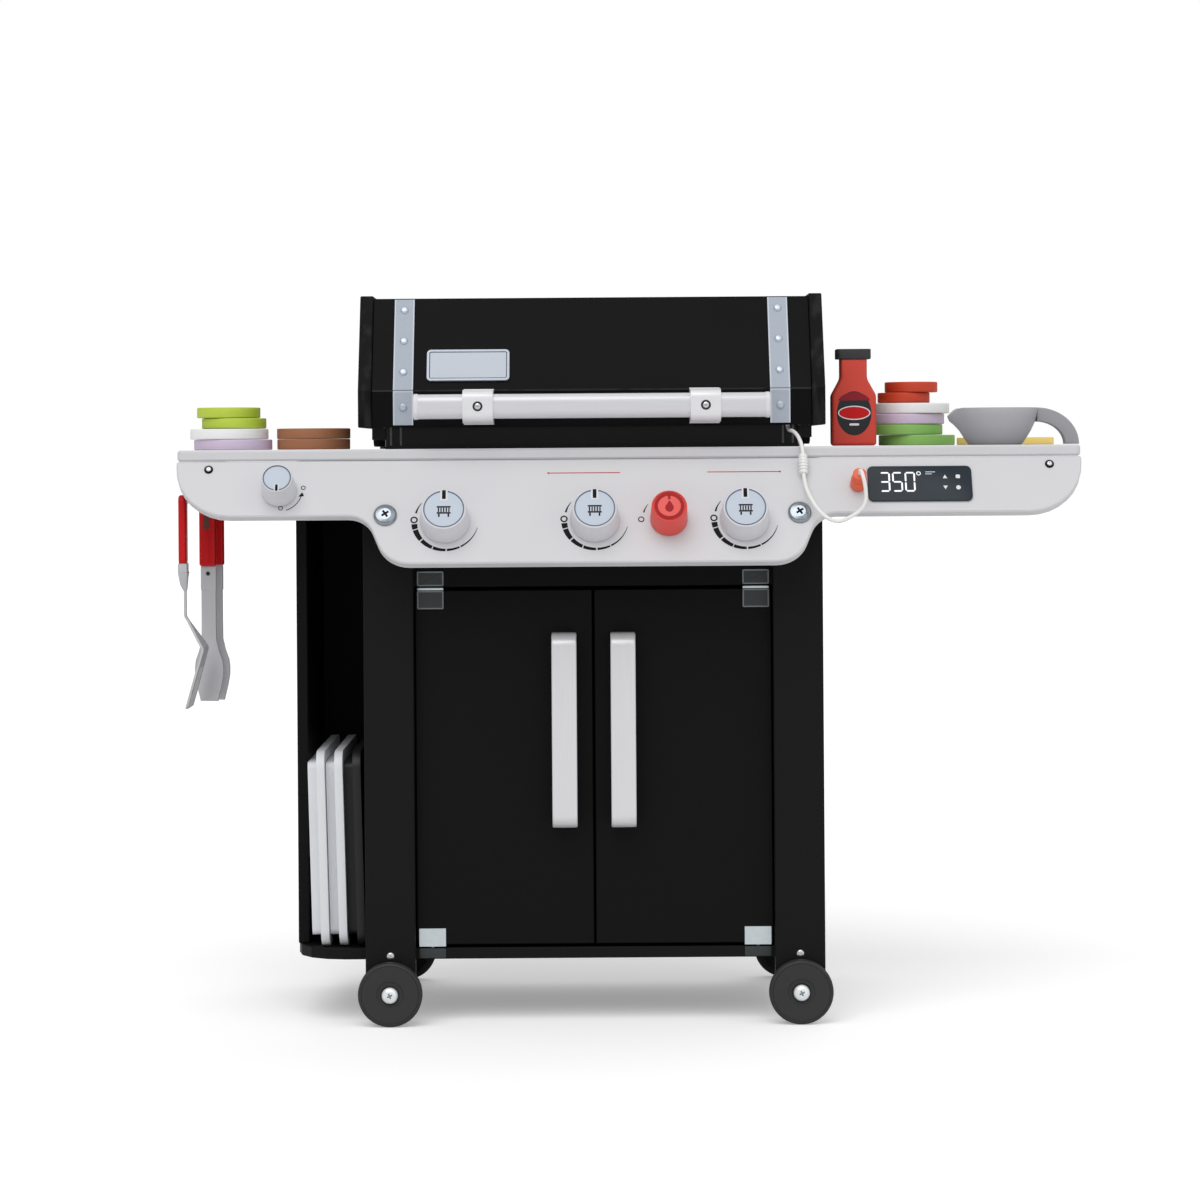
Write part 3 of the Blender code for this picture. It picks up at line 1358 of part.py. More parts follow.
def spatula(frame):
    """Grip, ferrule, cranked neck and slotted blade, seen edge on from the front."""
    eye = Vector((SPATULA_ACROSS, SPATULA_Y, SPATULA_EYE_HEIGHT))
    pivot = frame_empty("spatula_pivot", eye, frame)
    grip_top = SPATULA_GRIP_ABOVE_EYE
    grip_low = grip_top - SPATULA_GRIP_LONG
    half = SPATULA_GRIP_WIDE / 2
    shape = bmesh.new()
    outline = rounded_box(-half, half, grip_low, grip_top, half * 0.6)
    thick = SPATULA_GRIP_THICK / 2
    add_plate(shape, outline, -thick, thick, "YZ")
    obj = piece("spatula", shape, "red", pivot, EDGE)
    steel = bmesh.new()
    ferrule_low = grip_low - FERRULE_LONG
    neck = FERRULE_THICK / 5
    stations = (
        (0, grip_low + EDGE * 4, half * 0.8),
        (0, grip_low - EDGE, half * 0.8),
        (neck / 2, grip_low - FERRULE_LONG / 2, half * 0.62),
        (neck, ferrule_low, SPATULA_NECK_HALF),
    )
    add_ribbon(steel, stations, FERRULE_THICK * 0.6, "Y")
    carve(obj, steel, "ferrule", "UNION")
    strip = bmesh.new()
    bend_low = ferrule_low - SPATULA_NECK_LONG
    crank = (neck + CRANK_OUT, bend_low - CRANK_DOWN)
    stations = (
        (neck, ferrule_low + EDGE * 3, SPATULA_NECK_HALF * 0.9),
        (neck, bend_low, SPATULA_NECK_HALF * 0.9),
        (neck + CRANK_OUT / 2, bend_low - CRANK_DOWN / 2, BLADE_HALF_TOP * 0.45),
        (*crank, BLADE_HALF_TOP),
        (crank[0] - BLADE_BACK / 2, crank[1] - BLADE_DOWN / 2, BLADE_HALF_END),
        (crank[0] - BLADE_BACK, crank[1] - BLADE_DOWN, BLADE_HALF_END),
    )
    add_ribbon(strip, stations, STEEL_THICK, "Y")
    carve(obj, strip, "blade", "UNION")
    cuts = bmesh.new()
    add_rod(cuts, HOOK_RADIUS + RUNNING, -thick - OVERRUN, thick + OVERRUN, FACING_RIGHT, SMALL_STEPS)
    slot_top = crank[1] - BLADE_DOWN * 0.3
    for step in range(BLADE_SLOTS):
        middle = (step - (BLADE_SLOTS - 1) / 2) * 2 * BLADE_SLOT_WIDE
        low = (crank[0] - BLADE_BACK - OVERRUN, middle - BLADE_SLOT_WIDE / 2, slot_top - BLADE_SLOT_LONG)
        add_box(cuts, low, (crank[0] + OVERRUN, middle + BLADE_SLOT_WIDE / 2, slot_top))
    carve(obj, cuts, "eye and slots")


def tongs(frame):
    """One springy moulding: two arms that widen to heads, joined at the top by an eye for the hook."""
    turn = (0.0, 0.0, TONGS_TURN)
    pivot = frame_empty("tongs_pivot", (TONGS_ACROSS, TONGS_Y, TONGS_EYE_HEIGHT), frame, turn)
    top = -TONGS_BOW
    face = TONGS_SPREAD / 2
    arch = []
    for step in range(2 * ARC_STEPS + 1):
        angle = math.pi * step / (2 * ARC_STEPS)
        arch.append((-face * math.cos(angle), top + face * math.sin(angle), TONGS_ARM_HALF))
    arm = []
    for down_share, wide_share in TONGS_WIDEN_SHARES:
        half = TONGS_ARM_HALF + (TONGS_HEAD_HALF - TONGS_ARM_HALF) * wide_share
        arm.append((face, top - TONGS_LONG * down_share, half))
    stations = [(-along, up, half) for along, up, half in reversed(arm)] + arch[1:-1] + arm
    shape = bmesh.new()
    add_ribbon(shape, stations, TONGS_ARM_THICK, "X")
    obj = piece("tongs", shape, "tool grey", pivot)
    grips = bmesh.new()
    half = TONGS_GRIP_HALF
    outline = rounded_box(-half, half, top - TONGS_GRIP_LONG, top, half * 0.3)
    for side in (-1, 1):
        near = side * (face - TONGS_ARM_THICK * 0.7)
        add_plate(grips, outline, *sorted((near, near + side * TONGS_GRIP_THICK)))
    carve(obj, grips, "grips", "UNION")
    ear = bmesh.new()
    radius = TONGS_EAR_RADIUS
    lug = rounded_box(-radius, radius, top + face - TONGS_ARM_THICK / 2, radius, radius * 0.9)
    add_plate(ear, lug, -TONGS_EAR, TONGS_EAR, "YZ")
    carve(obj, ear, "ear", "UNION")
    eye = bmesh.new()
    add_rod(eye, HOOK_RADIUS + RUNNING, -TONGS_EAR - OVERRUN, TONGS_EAR + OVERRUN, FACING_RIGHT)
    carve(obj, eye, "eye")


def stack(name, places, finish, frame):
    """Round slices on top of each other, joined by cores, each with its own middle and radius."""
    shape = bmesh.new()
    rings = []
    for layer, (across, depth, radius) in enumerate(places):
        low = DECK_TOP + GAP + layer * (DISC_THICK + GAP)
        high = low + DISC_THICK
        core = radius - DISC_GROOVE
        profile = [(radius, low), (radius, high)]
        if layer:
            profile.insert(0, (core, low))
        if layer + 1 < len(places):
            profile.append((core, high))
        for reach, height in profile:
            ring = []
            for step in range(ROUND_STEPS):
                angle = math.tau * step / ROUND_STEPS
                spot = (across + reach * math.cos(angle), depth + reach * math.sin(angle), height)
                ring.append(shape.verts.new(spot))
            rings.append(ring)
    shape.faces.new(rings[0])
    shape.faces.new(rings[-1])
    for low_ring, high_ring in zip(rings, rings[1:]):
        for step in range(ROUND_STEPS):
            after = (step + 1) % ROUND_STEPS
            shape.faces.new([low_ring[step], low_ring[after], high_ring[after], high_ring[step]])
    piece(name, shape, finish, frame)


def play_food(frame):
    stack("vegetable_stack_left", LEFT_SLICES, "lilac", frame)
    stack("patty_stack", PATTY_SLICES, "brown", frame)
    stack("vegetable_stack_right", RIGHT_SLICES, "green", frame)
    shape = bmesh.new()
    half = CHEESE_SIDE / 2
    add_plate(shape, rounded_box(-half, half, -half, half, CHEESE_CORNER), 0, CHEESE_THICK, "XY")
    obj = piece("cheese_slice", shape, "yellow", frame, DISC_ROUND)
    obj.location = (CHEESE_ACROSS, CHEESE_Y, DECK_TOP + GAP)
    obj.rotation_euler.z = math.radians(CHEESE_TURN_DEG)


def sauce_bottle(frame):
    """A flat-sided bottle with sloping shoulders, and the flat cap pressed on its neck."""
    half = BOTTLE_HALF
    neck = BOTTLE_NECK_HALF
    bend = (half - neck) * 1.6
    right = [(half, 0, BOTTLE_EDGE), (half, BOTTLE_SHOULDER, bend), (neck, BOTTLE_NECK_FOOT, bend)]
    right.append((neck, BOTTLE_TALL, 0))
    left = [(-along, up, radius) for along, up, radius in reversed(right)]
    shape = bmesh.new()
    add_plate(shape, rounded(right + left), -BOTTLE_DEEP / 2, BOTTLE_DEEP / 2)
    obj = piece("sauce_bottle", shape, "tomato", frame, BOTTLE_EDGE)
    obj.location = (BOTTLE_ACROSS, BOTTLE_Y, DECK_TOP + GAP)
    cap = bmesh.new()
    outline = rounded_box(-CAP_WIDE / 2, CAP_WIDE / 2, -CAP_DEEP / 2, CAP_DEEP / 2, CAP_CORNER)
    add_plate(cap, outline, BOTTLE_TALL - BOTTLE_EDGE * 1.5, BOTTLE_TALL + CAP_TALL, "XY")
    cap.transform(Matrix.Translation(obj.location))
    carve(obj, cap, "cap", "UNION")


def bowl(frame):
    """A turned bowl whose rim is drawn out and down into a spout, with an arched handle."""
    shape = bmesh.new()
    waist_inner = BOWL_WAIST_RADIUS - BOWL_WALL
    profile = [
        (0, 0),
        (BOWL_FOOT_RADIUS, 0),
        ((BOWL_FOOT_RADIUS + BOWL_WAIST_RADIUS) / 2 + BOWL_WALL / 3, BOWL_WAIST_HEIGHT / 2),
        (BOWL_WAIST_RADIUS, BOWL_WAIST_HEIGHT),
        (BOWL_RIM_RADIUS, BOWL_TALL),
        (BOWL_RIM_RADIUS - BOWL_WALL, BOWL_TALL),
        (waist_inner, BOWL_WAIST_HEIGHT + BOWL_WALL / 2),
        ((BOWL_FOOT_RADIUS + waist_inner) / 2, BOWL_WAIST_HEIGHT / 2 + BOWL_WALL),
        (BOWL_FOOT_RADIUS - BOWL_WALL, BOWL_WALL),
        (0, BOWL_WALL),
    ]
    add_turned(shape, profile, steps=ROUND_STEPS + ARC_STEPS)
    for vert in shape.verts:
        towards = -vert.co.x / max(vert.co.xy.length, EDGE)
        pull = max(0.0, towards) ** 8 * max(0.0, vert.co.z / BOWL_TALL * 2 - 1)
        vert.co.x -= SPOUT_OUT * pull
        vert.co.z -= SPOUT_DIP * pull
    obj = piece("bowl", shape, "bowl grey", frame)
    obj.location = (BOWL_ACROSS, BOWL_Y, DECK_TOP + GAP)
    handle = bmesh.new()
    root = BOWL_RIM_RADIUS - BOWL_WALL / 2
    reach = BOWL_HANDLE_REACH - root
    outline = []
    for trim in (0.0, BOWL_HANDLE_THICK):
        arc = []
        for step in range(BOWL_HANDLE_STEPS + 1):
            angle = math.pi / 2 * step / BOWL_HANDLE_STEPS
            high = BOWL_TALL - GAP - trim
            across = root + (reach - trim) * math.sin(angle)
            arc.append((across, high * math.cos(angle) + EDGE / 2 * math.sin(angle)))
        outline.extend(arc if not trim else reversed(arc))
    add_plate(handle, outline, -BOWL_HANDLE_WIDE / 2, BOWL_HANDLE_WIDE / 2)
    handle.transform(Matrix.Translation(obj.location))
    carve(obj, handle, "handle", "UNION")


def trays(frame):
    """Three stepped trays on edge, open to the right and leaning a little to the left."""
    finishes = ("white plastic", "white plastic", "wheel black")
    for step, finish in enumerate(finishes):
        across = -RACK_OUTER + BOARD + TRAY_FROM_WALL + step * TRAY_PITCH
        turn = (0.0, -math.radians(TRAY_LEAN_DEG), 0.0)
        stand = frame_empty(f"tray_{step + 1}_stand", (across, TRAY_FRONT, SHELF_TOP + GAP), frame, turn)
        shape = bmesh.new()
        lip = rounded_box(0, TRAY_LONG, 0, TRAY_TALL, TRAY_CORNER)
        add_plate(shape, lip, TRAY_BASE, TRAY_BASE + TRAY_LIP, "YZ")
        obj = piece(f"tray_{step + 1}", shape, finish, stand)
        base = bmesh.new()
        corner = TRAY_CORNER - TRAY_STEP / 2
        inset = TRAY_STEP
        foot = rounded_box(inset, TRAY_LONG - inset, inset, TRAY_TALL - inset, corner)
        add_plate(base, foot, 0, TRAY_BASE + TRAY_LIP / 2, "YZ")
        carve(obj, base, "base", "UNION")
        hollow = bmesh.new()
        inset = TRAY_STEP + TRAY_WALL
        room = rounded_box(inset, TRAY_LONG - inset, inset, TRAY_TALL - inset, corner)
        add_plate(hollow, room, TRAY_FLOOR, TRAY_BASE + TRAY_LIP + OVERRUN, "YZ")
        carve(obj, hollow, "hollow")


def build():
    clear_scene()
    cabinet = frame_empty("cabinet", (CABINET_X, CABINET_Y, 0))
    panel = frame_empty("panel", (0, -DECK_FRONT, BOARDS_TOP), cabinet, (-TILT, 0, 0))
    legs(cabinet)
    wheels(cabinet)
    axles(cabinet)
    cabinet_boards(cabinet)
    deck_board(cabinet)
    control_panel(panel)
    panel_batten(cabinet, panel)
    display(panel)
    knobs(panel)
    probe_plug(panel)
    probe(cabinet)
    firebox(cabinet)
    cooking_grate(cabinet)
    lid_pivot = frame_empty("lid_pivot", (0, LID_PIVOT_Y, LID_PIVOT_HEIGHT), cabinet)
    lid(lid_pivot)
    lid_straps(lid_pivot)
    lid_badge(slope_frame(lid_pivot))
    lid_handle(lid_pivot)
    door("left", -1, cabinet)
    door("right", 1, cabinet)
    tool_hooks(cabinet)
    spatula(cabinet)
    tongs(cabinet)
    play_food(cabinet)
    sauce_bottle(cabinet)
    bowl(cabinet)
    trays(cabinet)


build()
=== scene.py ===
"""The toy grill's looks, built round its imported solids.

Places and sizes are in millimetres and become metres where Blender gets them. +Z is up and the
grill faces -Y. Pieces on the leaning panel are made in its own frame, where X is across, Z runs
up the slope to the deck and -Y stands out of the board.
"""

import json
import math

import bmesh
import bpy
from mathutils import Matrix, Vector

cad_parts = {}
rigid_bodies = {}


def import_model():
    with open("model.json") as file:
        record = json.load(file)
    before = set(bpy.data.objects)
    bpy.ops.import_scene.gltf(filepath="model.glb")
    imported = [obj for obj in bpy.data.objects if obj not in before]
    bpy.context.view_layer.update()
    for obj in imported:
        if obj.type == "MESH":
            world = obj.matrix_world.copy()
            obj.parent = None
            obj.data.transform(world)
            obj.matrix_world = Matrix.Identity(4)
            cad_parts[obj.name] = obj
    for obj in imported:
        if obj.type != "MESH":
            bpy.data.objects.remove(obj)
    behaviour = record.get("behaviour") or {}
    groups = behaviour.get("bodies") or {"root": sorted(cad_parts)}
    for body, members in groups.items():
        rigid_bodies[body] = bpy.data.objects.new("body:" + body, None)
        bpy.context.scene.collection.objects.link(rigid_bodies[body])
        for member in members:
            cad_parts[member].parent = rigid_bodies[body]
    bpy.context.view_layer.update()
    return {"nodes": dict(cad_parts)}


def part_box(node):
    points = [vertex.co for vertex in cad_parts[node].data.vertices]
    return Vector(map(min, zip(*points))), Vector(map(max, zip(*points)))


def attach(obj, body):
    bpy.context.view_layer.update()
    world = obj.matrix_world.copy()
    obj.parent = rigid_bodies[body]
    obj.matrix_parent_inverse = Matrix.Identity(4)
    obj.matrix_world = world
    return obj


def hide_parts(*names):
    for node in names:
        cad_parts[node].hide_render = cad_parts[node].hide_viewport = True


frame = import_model()


# Where things stand

MM = 0.001


def at(across, depth, up):
    return Matrix.Translation((across * MM, depth * MM, up * MM))


def turned(degrees, axis):
    return Matrix.Rotation(math.radians(degrees), 4, axis)


DECK_LOW, DECK_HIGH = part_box("deck_board")
DECK_TOP = DECK_HIGH[2] / MM
LEFT_TABLE_REACH = 372
DECK_OVERHANG = 15
BOARDS_TOP = 508.2
PANEL_TILT = 28
LID_FRONT_DEPTH = 5
LID_FOLD = 571
LID_LEAN = math.degrees(math.atan2(43, 85))
CABINET = Vector((DECK_LOW[0] + LEFT_TABLE_REACH * MM, DECK_LOW[1] + DECK_OVERHANG * MM, 0))

AT_FRONT = turned(90, "X")
AT_BACK = turned(-90, "X")
AT_SIDE = Matrix(((0, 0, 1, 0), (1, 0, 0, 0), (0, 1, 0, 0), (0, 0, 0, 1)))
AT_CABINET = Matrix.Translation(CABINET)
AT_PANEL = AT_CABINET @ at(0, -DECK_OVERHANG, BOARDS_TOP) @ turned(-PANEL_TILT, "X")
AT_SLOPE = AT_CABINET @ at(0, LID_FRONT_DEPTH, LID_FOLD) @ turned(-LID_LEAN, "X")


def on_cabinet(across, depth, up):
    return AT_CABINET @ at(across, depth, up)


def on_panel(across, down, rise=0):
    """Where a piece modelled lying on XY with its face up goes on the leaning panel."""
    return AT_PANEL @ at(across, -rise, -down) @ AT_FRONT


def across_side(left):
    """Where a piece drawn in side view, by depth and height, starts at a distance across."""
    return on_cabinet(left, 0, 0) @ AT_SIDE


# Camera, light and floor

CAMERA_PLACE = (-1.8, -3000, 516.5)
CAMERA_ROLL = 0.4
PHOTO_PIXELS = 1200
SKY_STRENGTH = 0.46
FLOOR_GLOW = 0.28
# Each sun's name, the side it stands on, its strength and its softness in degrees
SUNS = (
    ("key", (-0.5, -1.65, 2.1), 1.4, 50),
    ("fill", (1.5, -1.5, 1.3), 0.4, 60),
    ("rear", (0.5, 1.5, 1.8), 0.45, 60),
)


def link(obj):
    bpy.context.scene.collection.objects.link(obj)


def add_camera():
    data = bpy.data.cameras.new("photo view")
    data.lens = 100
    data.sensor_width = 36
    data.shift_x = 10 / PHOTO_PIXELS
    data.shift_y = -150 / PHOTO_PIXELS
    data.clip_end = 50
    camera = bpy.data.objects.new("photo view", data)
    link(camera)
    camera.matrix_world = on_cabinet(*CAMERA_PLACE) @ AT_FRONT @ turned(-CAMERA_ROLL, "Z")
    bpy.context.scene.camera = camera


def add_suns():
    for name, side, strength, softness in SUNS:
        data = bpy.data.lights.new(name, "SUN")
        data.energy = strength
        data.angle = math.radians(softness)
        sun = bpy.data.objects.new(name, data)
        sun.rotation_euler = (-Vector(side)).to_track_quat("-Z", "Y").to_euler()
        link(sun)


def add_sky():
    """A soft even sky that the camera sees as white."""
    world = bpy.data.worlds.new("studio")
    bpy.context.scene.world = world
    world.use_nodes = True
    tree = world.node_tree
    path = tree.nodes.new("ShaderNodeLightPath")
    strength = tree.nodes.new("ShaderNodeMath")
    strength.operation = "MAXIMUM"
    strength.inputs[1].default_value = SKY_STRENGTH
    background = tree.nodes["Background"]
    background.inputs["Color"].default_value = (1, 1, 1, 1)
    tree.links.new(path.outputs["Is Camera Ray"], strength.inputs[0])
    tree.links.new(strength.outputs[0], background.inputs["Strength"])


def add_floor():
    """A pale floor that keeps its shadow and fades into the white behind it."""
    bpy.ops.mesh.primitive_plane_add(size=60)
    floor = bpy.context.object
    floor.name = "floor"
    look = Look("floor", (0.86, 0.86, 0.86), 0.9, specular=0)
    path = look.node("ShaderNodeLightPath")
    dark = look.node("ShaderNodeEmission", {}, {"Strength": 0})
    glow = look.node("ShaderNodeEmission", {}, {"Color": (1, 1, 1, 1), "Strength": FLOOR_GLOW})
    inputs = {0: path.outputs["Is Camera Ray"], 1: dark.outputs[0], 2: glow.outputs[0]}
    seen = look.node("ShaderNodeMixShader", {}, inputs)
    both = look.node("ShaderNodeAddShader", {}, {0: look.shader.outputs[0], 1: seen.outputs[0]})
    look.join(both.outputs[0], look.tree.nodes["Material Output"].inputs["Surface"])
    floor.data.materials.append(look.material)


# Materials


class Value:
    """A shader number that Python's operators add Math nodes to."""

    def __init__(self, look, socket):
        self.look = look
        self.socket = socket

    def math(self, operation, other=0):
        made = self.look.node("ShaderNodeMath", {"operation": operation}, {0: self, 1: other})
        return Value(self.look, made.outputs[0])

    def __add__(self, other):
        return self.math("ADD", other)

    __radd__ = __add__

    def __sub__(self, other):
        return self.math("SUBTRACT", other)

    def __rsub__(self, other):
        return self * -1 + other

    def __mul__(self, other):
        return self.math("MULTIPLY", other)

    __rmul__ = __mul__

    def below(self, level):
        return self.math("LESS_THAN", level)

    def size(self):
        return self.math("ABSOLUTE")

    def near(self, spot, reach):
        """1 where this is within a reach of a spot, both in millimetres, and 0 elsewhere."""
        return (self - spot * MM).size().below(reach * MM)

    def between(self, low, high, start=0, end=1):
        """Runs from start to end while this runs from low to high, and stays there."""
        inputs = {"Value": self, "From Min": low, "From Max": high, "To Min": start, "To Max": end}
        made = self.look.node("ShaderNodeMapRange", {"interpolation_type": "SMOOTHSTEP"}, inputs)
        return Value(self.look, made.outputs["Result"])


class Look:
    """A material: a Principled shader with a colour, roughness and metallic value to start from."""

    def __init__(self, name, colour, roughness, metallic=0, specular=0.5):
        self.material = bpy.data.materials.new(name)
        self.material.use_nodes = True
        self.tree = self.material.node_tree
        self.shader = self.tree.nodes["Principled BSDF"]
        self.colour = colour
        self.place = self.node("ShaderNodeTexCoord").outputs["Object"]
        self.put("Base Color", (*colour, 1))
        self.put("Roughness", roughness)
        self.put("Metallic", metallic)
        self.put("Specular IOR Level", specular)

    def node(self, kind, settings=None, inputs=None):
        made = self.tree.nodes.new(kind)
        for key, setting in (settings or {}).items():
            setattr(made, key, setting)
        for key, given in (inputs or {}).items():
            self.join(given, made.inputs[key])
        return made

    def join(self, given, socket):
        """Links a socket or Value to a socket, or sets a plain value on it."""
        if isinstance(given, Value):
            given = given.socket
        if isinstance(given, bpy.types.NodeSocket):
            self.tree.links.new(given, socket)
        else:
            socket.default_value = given

    def put(self, name, given):
        self.join(given, self.shader.inputs[name])

    def axis(self, name):
        """The point's place along one axis of the object, in metres."""
        return Value(self, self.node("ShaderNodeSeparateXYZ", {}, {0: self.place}).outputs[name])

    def noise(self, scale, detail=3, stretch=(1, 1, 1)):
        place = self.node("ShaderNodeMapping", {}, {"Vector": self.place, "Scale": stretch}).outputs[0]
        inputs = {"Vector": place, "Scale": scale, "Detail": detail}
        return Value(self, self.node("ShaderNodeTexNoise", {}, inputs).outputs[0])

    def mix(self, share, first, second):
        """A colour between two, by a share from 0 to 1."""
        inputs = {0: share, 6: first, 7: second}
        return self.node("ShaderNodeMix", {"data_type": "RGBA"}, inputs).outputs[2]

    def tint(self, share, amount):
        """Varies the colour's brightness by an amount each way as the share runs from 0 to 1."""
        dark = (*(part * (1 - amount) for part in self.colour), 1)
        light = (*(min(1, part * (1 + amount)) for part in self.colour), 1)
        self.put("Base Color", self.mix(share, dark, light))

    def vary(self, share, amount, roughness, relief, strength=0.08, distance=0.1):
        """Makes the colour, the roughness and the surface's height vary over the piece."""
        self.tint(share, amount)
        self.put("Roughness", roughness)
        inputs = {"Height": relief, "Strength": strength, "Distance": distance * MM}
        self.put("Normal", self.node("ShaderNodeBump", {}, inputs).outputs[0])
        return self

    def lay_over(self, share, *colour):
        """Lays a second colour over the look's own, by a share from 0 to 1."""
        below = self.shader.inputs["Base Color"].links[0].from_socket
        self.put("Base Color", self.mix(share, below, (*colour, 1)))


def painted_board(name, colour, roughness, specular):
    """Satin paint on board: the roller's fine stipple, and patches that shine a little less."""
    look = Look(name, colour, roughness, specular=specular)
    patches = look.noise(9, 4)
    stipple = look.noise(700, 2)
    rough = (patches + stipple * 0.5) * 0.16 + (roughness - 0.12)
    return look.vary(patches, 0.06, rough, stipple, 0.12)


def moulded(name, colour, roughness=0.42, specular=0.4, grain=1100):
    """Moulded plastic with a fine even grain and slight colour clouds."""
    look = Look(name, colour, roughness, specular=specular)
    clouds = look.noise(16)
    return look.vary(clouds, 0.035, clouds * 0.12 + (roughness - 0.06), look.noise(grain, 2))


def plated(name, colour, roughness, metallic=1):
    """Zinc or nickel plating: faint clouded crystals and fine rubbed marks."""
    look = Look(name, colour, roughness, metallic)
    clouds = look.noise(160, 4)
    rubbed = look.noise(30, 4, (1, 1, 40))
    rough = clouds * 0.14 + rubbed * 0.12 + (roughness - 0.12)
    return look.vary(clouds, 0.1, rough, rubbed, 0.06)


def brushed(name, colour, stretch, roughness, metallic):
    """Silver-painted metal with a brushed grain that runs one way."""
    look = Look(name, colour, roughness, metallic)
    grain = look.noise(22, 5, stretch)
    return look.vary(grain, 0.05, grain * 0.16 + (roughness - 0.08), grain)


def painted_wood(name, colour, roughness=0.5):
    """Painted play food: faint turning lines round the rim, brush clouds and paint rubbed thin."""
    look = Look(name, colour, roughness, specular=0.35)
    lines = look.noise(8, 3, (2, 2, 90))
    clouds = look.noise(40, 4)
    shade = lines * 0.6 + clouds * 0.4
    return look.vary(shade, 0.14, clouds * 0.2 + (roughness - 0.1), lines, 0.15, 0.2)


# Each kind of finish, and the looks it makes: their colour, then the kind's own settings
KINDS = {
    painted_board: {
        "black board": ((0.005, 0.005, 0.0056), 0.48, 0.09),
        "leg board": ((0.0078, 0.0078, 0.0082), 0.48, 0.1),
        "lid board": ((0.0044, 0.0044, 0.0048), 0.46, 0.06),
        "lid front": ((0.0044, 0.0044, 0.0048), 0.46, 0.06),
        "lid side": ((0.0062, 0.0062, 0.0064), 0.5, 0.06),
        "white board": ((0.62, 0.62, 0.64), 0.5, 0.3),
    },
    moulded: {
        "pale silver": ((0.7, 0.7, 0.72), 0.38, 0.5),
        "badge field": ((0.5, 0.54, 0.61), 0.4),
        "badge line": ((0.05, 0.055, 0.08), 0.5, 0.3),
        "black enamel": ((0.0075, 0.0075, 0.0082), 0.42, 0.16, 500),
        "glossy enamel": ((0.005, 0.005, 0.0055), 0.22, 0.2),
        "hinge rim": ((0.2, 0.22, 0.22), 0.4, 0.35),
        # The top hinges' darker sheets are painted shade, as they sit in the panel's shadow; the shelf
        # plates use the dark one too.
        "hinge sheet": ((0.04, 0.046, 0.047), 0.4, 0.35),
        "dark hinge sheet": ((0.036, 0.042, 0.043), 0.4, 0.35),
        "white plastic": ((0.7, 0.71, 0.74),),
        "knob plastic": ((0.66, 0.66, 0.7), 0.4),
        "knob cap": ((0.48, 0.54, 0.62), 0.38),
        "cap ring": ((0.22, 0.25, 0.32), 0.4),
        "cord": ((0.8, 0.8, 0.78), 0.5),
        "tyre": ((0.03, 0.03, 0.031), 0.6, 0.3, 900),
        "black plastic": ((0.016, 0.016, 0.017), 0.45, 0.3),
        "red plastic": ((0.52, 0.005, 0.007), 0.4, 0.22),
        "orange red plastic": ((0.74, 0.075, 0.06), 0.38),
        "plug orange": ((0.8, 0.13, 0.055), 0.42),
        "grip inlay": ((0.1, 0.045, 0.035), 0.5, 0.3),
        "tool grey": ((0.47, 0.47, 0.49), 0.45),
        "bowl grey": ((0.4, 0.4, 0.425), 0.5, 0.35),
        "bowl handle": ((0.32, 0.32, 0.335), 0.55, 0.3),
        "bottle red": ((0.6, 0.062, 0.042), 0.45, 0.25),
        "bottle cap": ((0.035, 0.035, 0.038), 0.5, 0.3),
        "label black": ((0.018, 0.018, 0.022), 0.4, 0.3),
        "label red": ((0.24, 0.006, 0.016), 0.4, 0.3),
        "black ink": ((0.006, 0.006, 0.0065), 0.55, 0.1),
        "deep red ink": ((0.33, 0.007, 0.01), 0.5, 0.2),
        "red ink": ((0.48, 0.02, 0.02), 0.5, 0.2),
    },
    plated: {
        "bolt chrome": ((0.31, 0.345, 0.38), 0.24),
        "zinc": ((0.66, 0.68, 0.7), 0.28),
        "axle zinc": ((0.86, 0.89, 0.9), 0.34, 0.35),
        # The lit copy of the hinges' sheet, for the lower hinges and as a painted highlight on the top
        # hinges' folded edges.
        "bright hinge sheet": ((0.66, 0.73, 0.76), 0.34, 0.7),
    },
    brushed: {
        "badge silver": ((0.4, 0.43, 0.5), (30, 1, 30), 0.34, 0.3),
        "rivet": ((0.5, 0.56, 0.64), (4, 4, 4), 0.32, 0.45),
        "strap blue": ((0.37, 0.415, 0.48), (2, 30, 2), 0.55, 0),
        "silver": ((0.66, 0.66, 0.69), (1, 30, 30), 0.38, 0.2),
        "bracket silver": ((0.76, 0.76, 0.78), (1, 30, 30), 0.4, 0.15),
        "pull silver": ((0.72, 0.72, 0.74), (30, 30, 1), 0.36, 0.25),
    },
    painted_wood: {
        "lime": ((0.49, 0.63, 0.065),),
        "pale onion": ((0.93, 0.93, 0.93),),
        "lilac": ((0.65, 0.545, 0.7),),
        "pale lime": ((0.6, 0.72, 0.2),),
        "pale green": ((0.3, 0.52, 0.16),),
        "pale tomato": ((0.68, 0.13, 0.06),),
        "patty brown": ((0.38, 0.155, 0.075),),
        "tomato": ((0.6, 0.06, 0.022),),
        "cucumber green": ((0.27, 0.54, 0.135),),
        "cheese": ((0.95, 0.68, 0.2),),
    },
}


def screen_glass():
    look = Look("screen", (0.02, 0.028, 0.038), 0.3, specular=0.15)
    smears = look.noise(30)
    look.tint(smears, 0.15)
    look.put("Roughness", smears * 0.14 + 0.1)
    return look


def lit_digit():
    look = Look("lit digit", (0.85, 0.88, 0.9), 0.5)
    look.put("Emission Color", (0.9, 0.95, 1, 1))
    look.put("Emission Strength", 0.25)
    look.put("Roughness", look.noise(400) * 0.2 + 0.4)
    return look


STRAP_ACROSS = 170
STRAP_HALF = 9


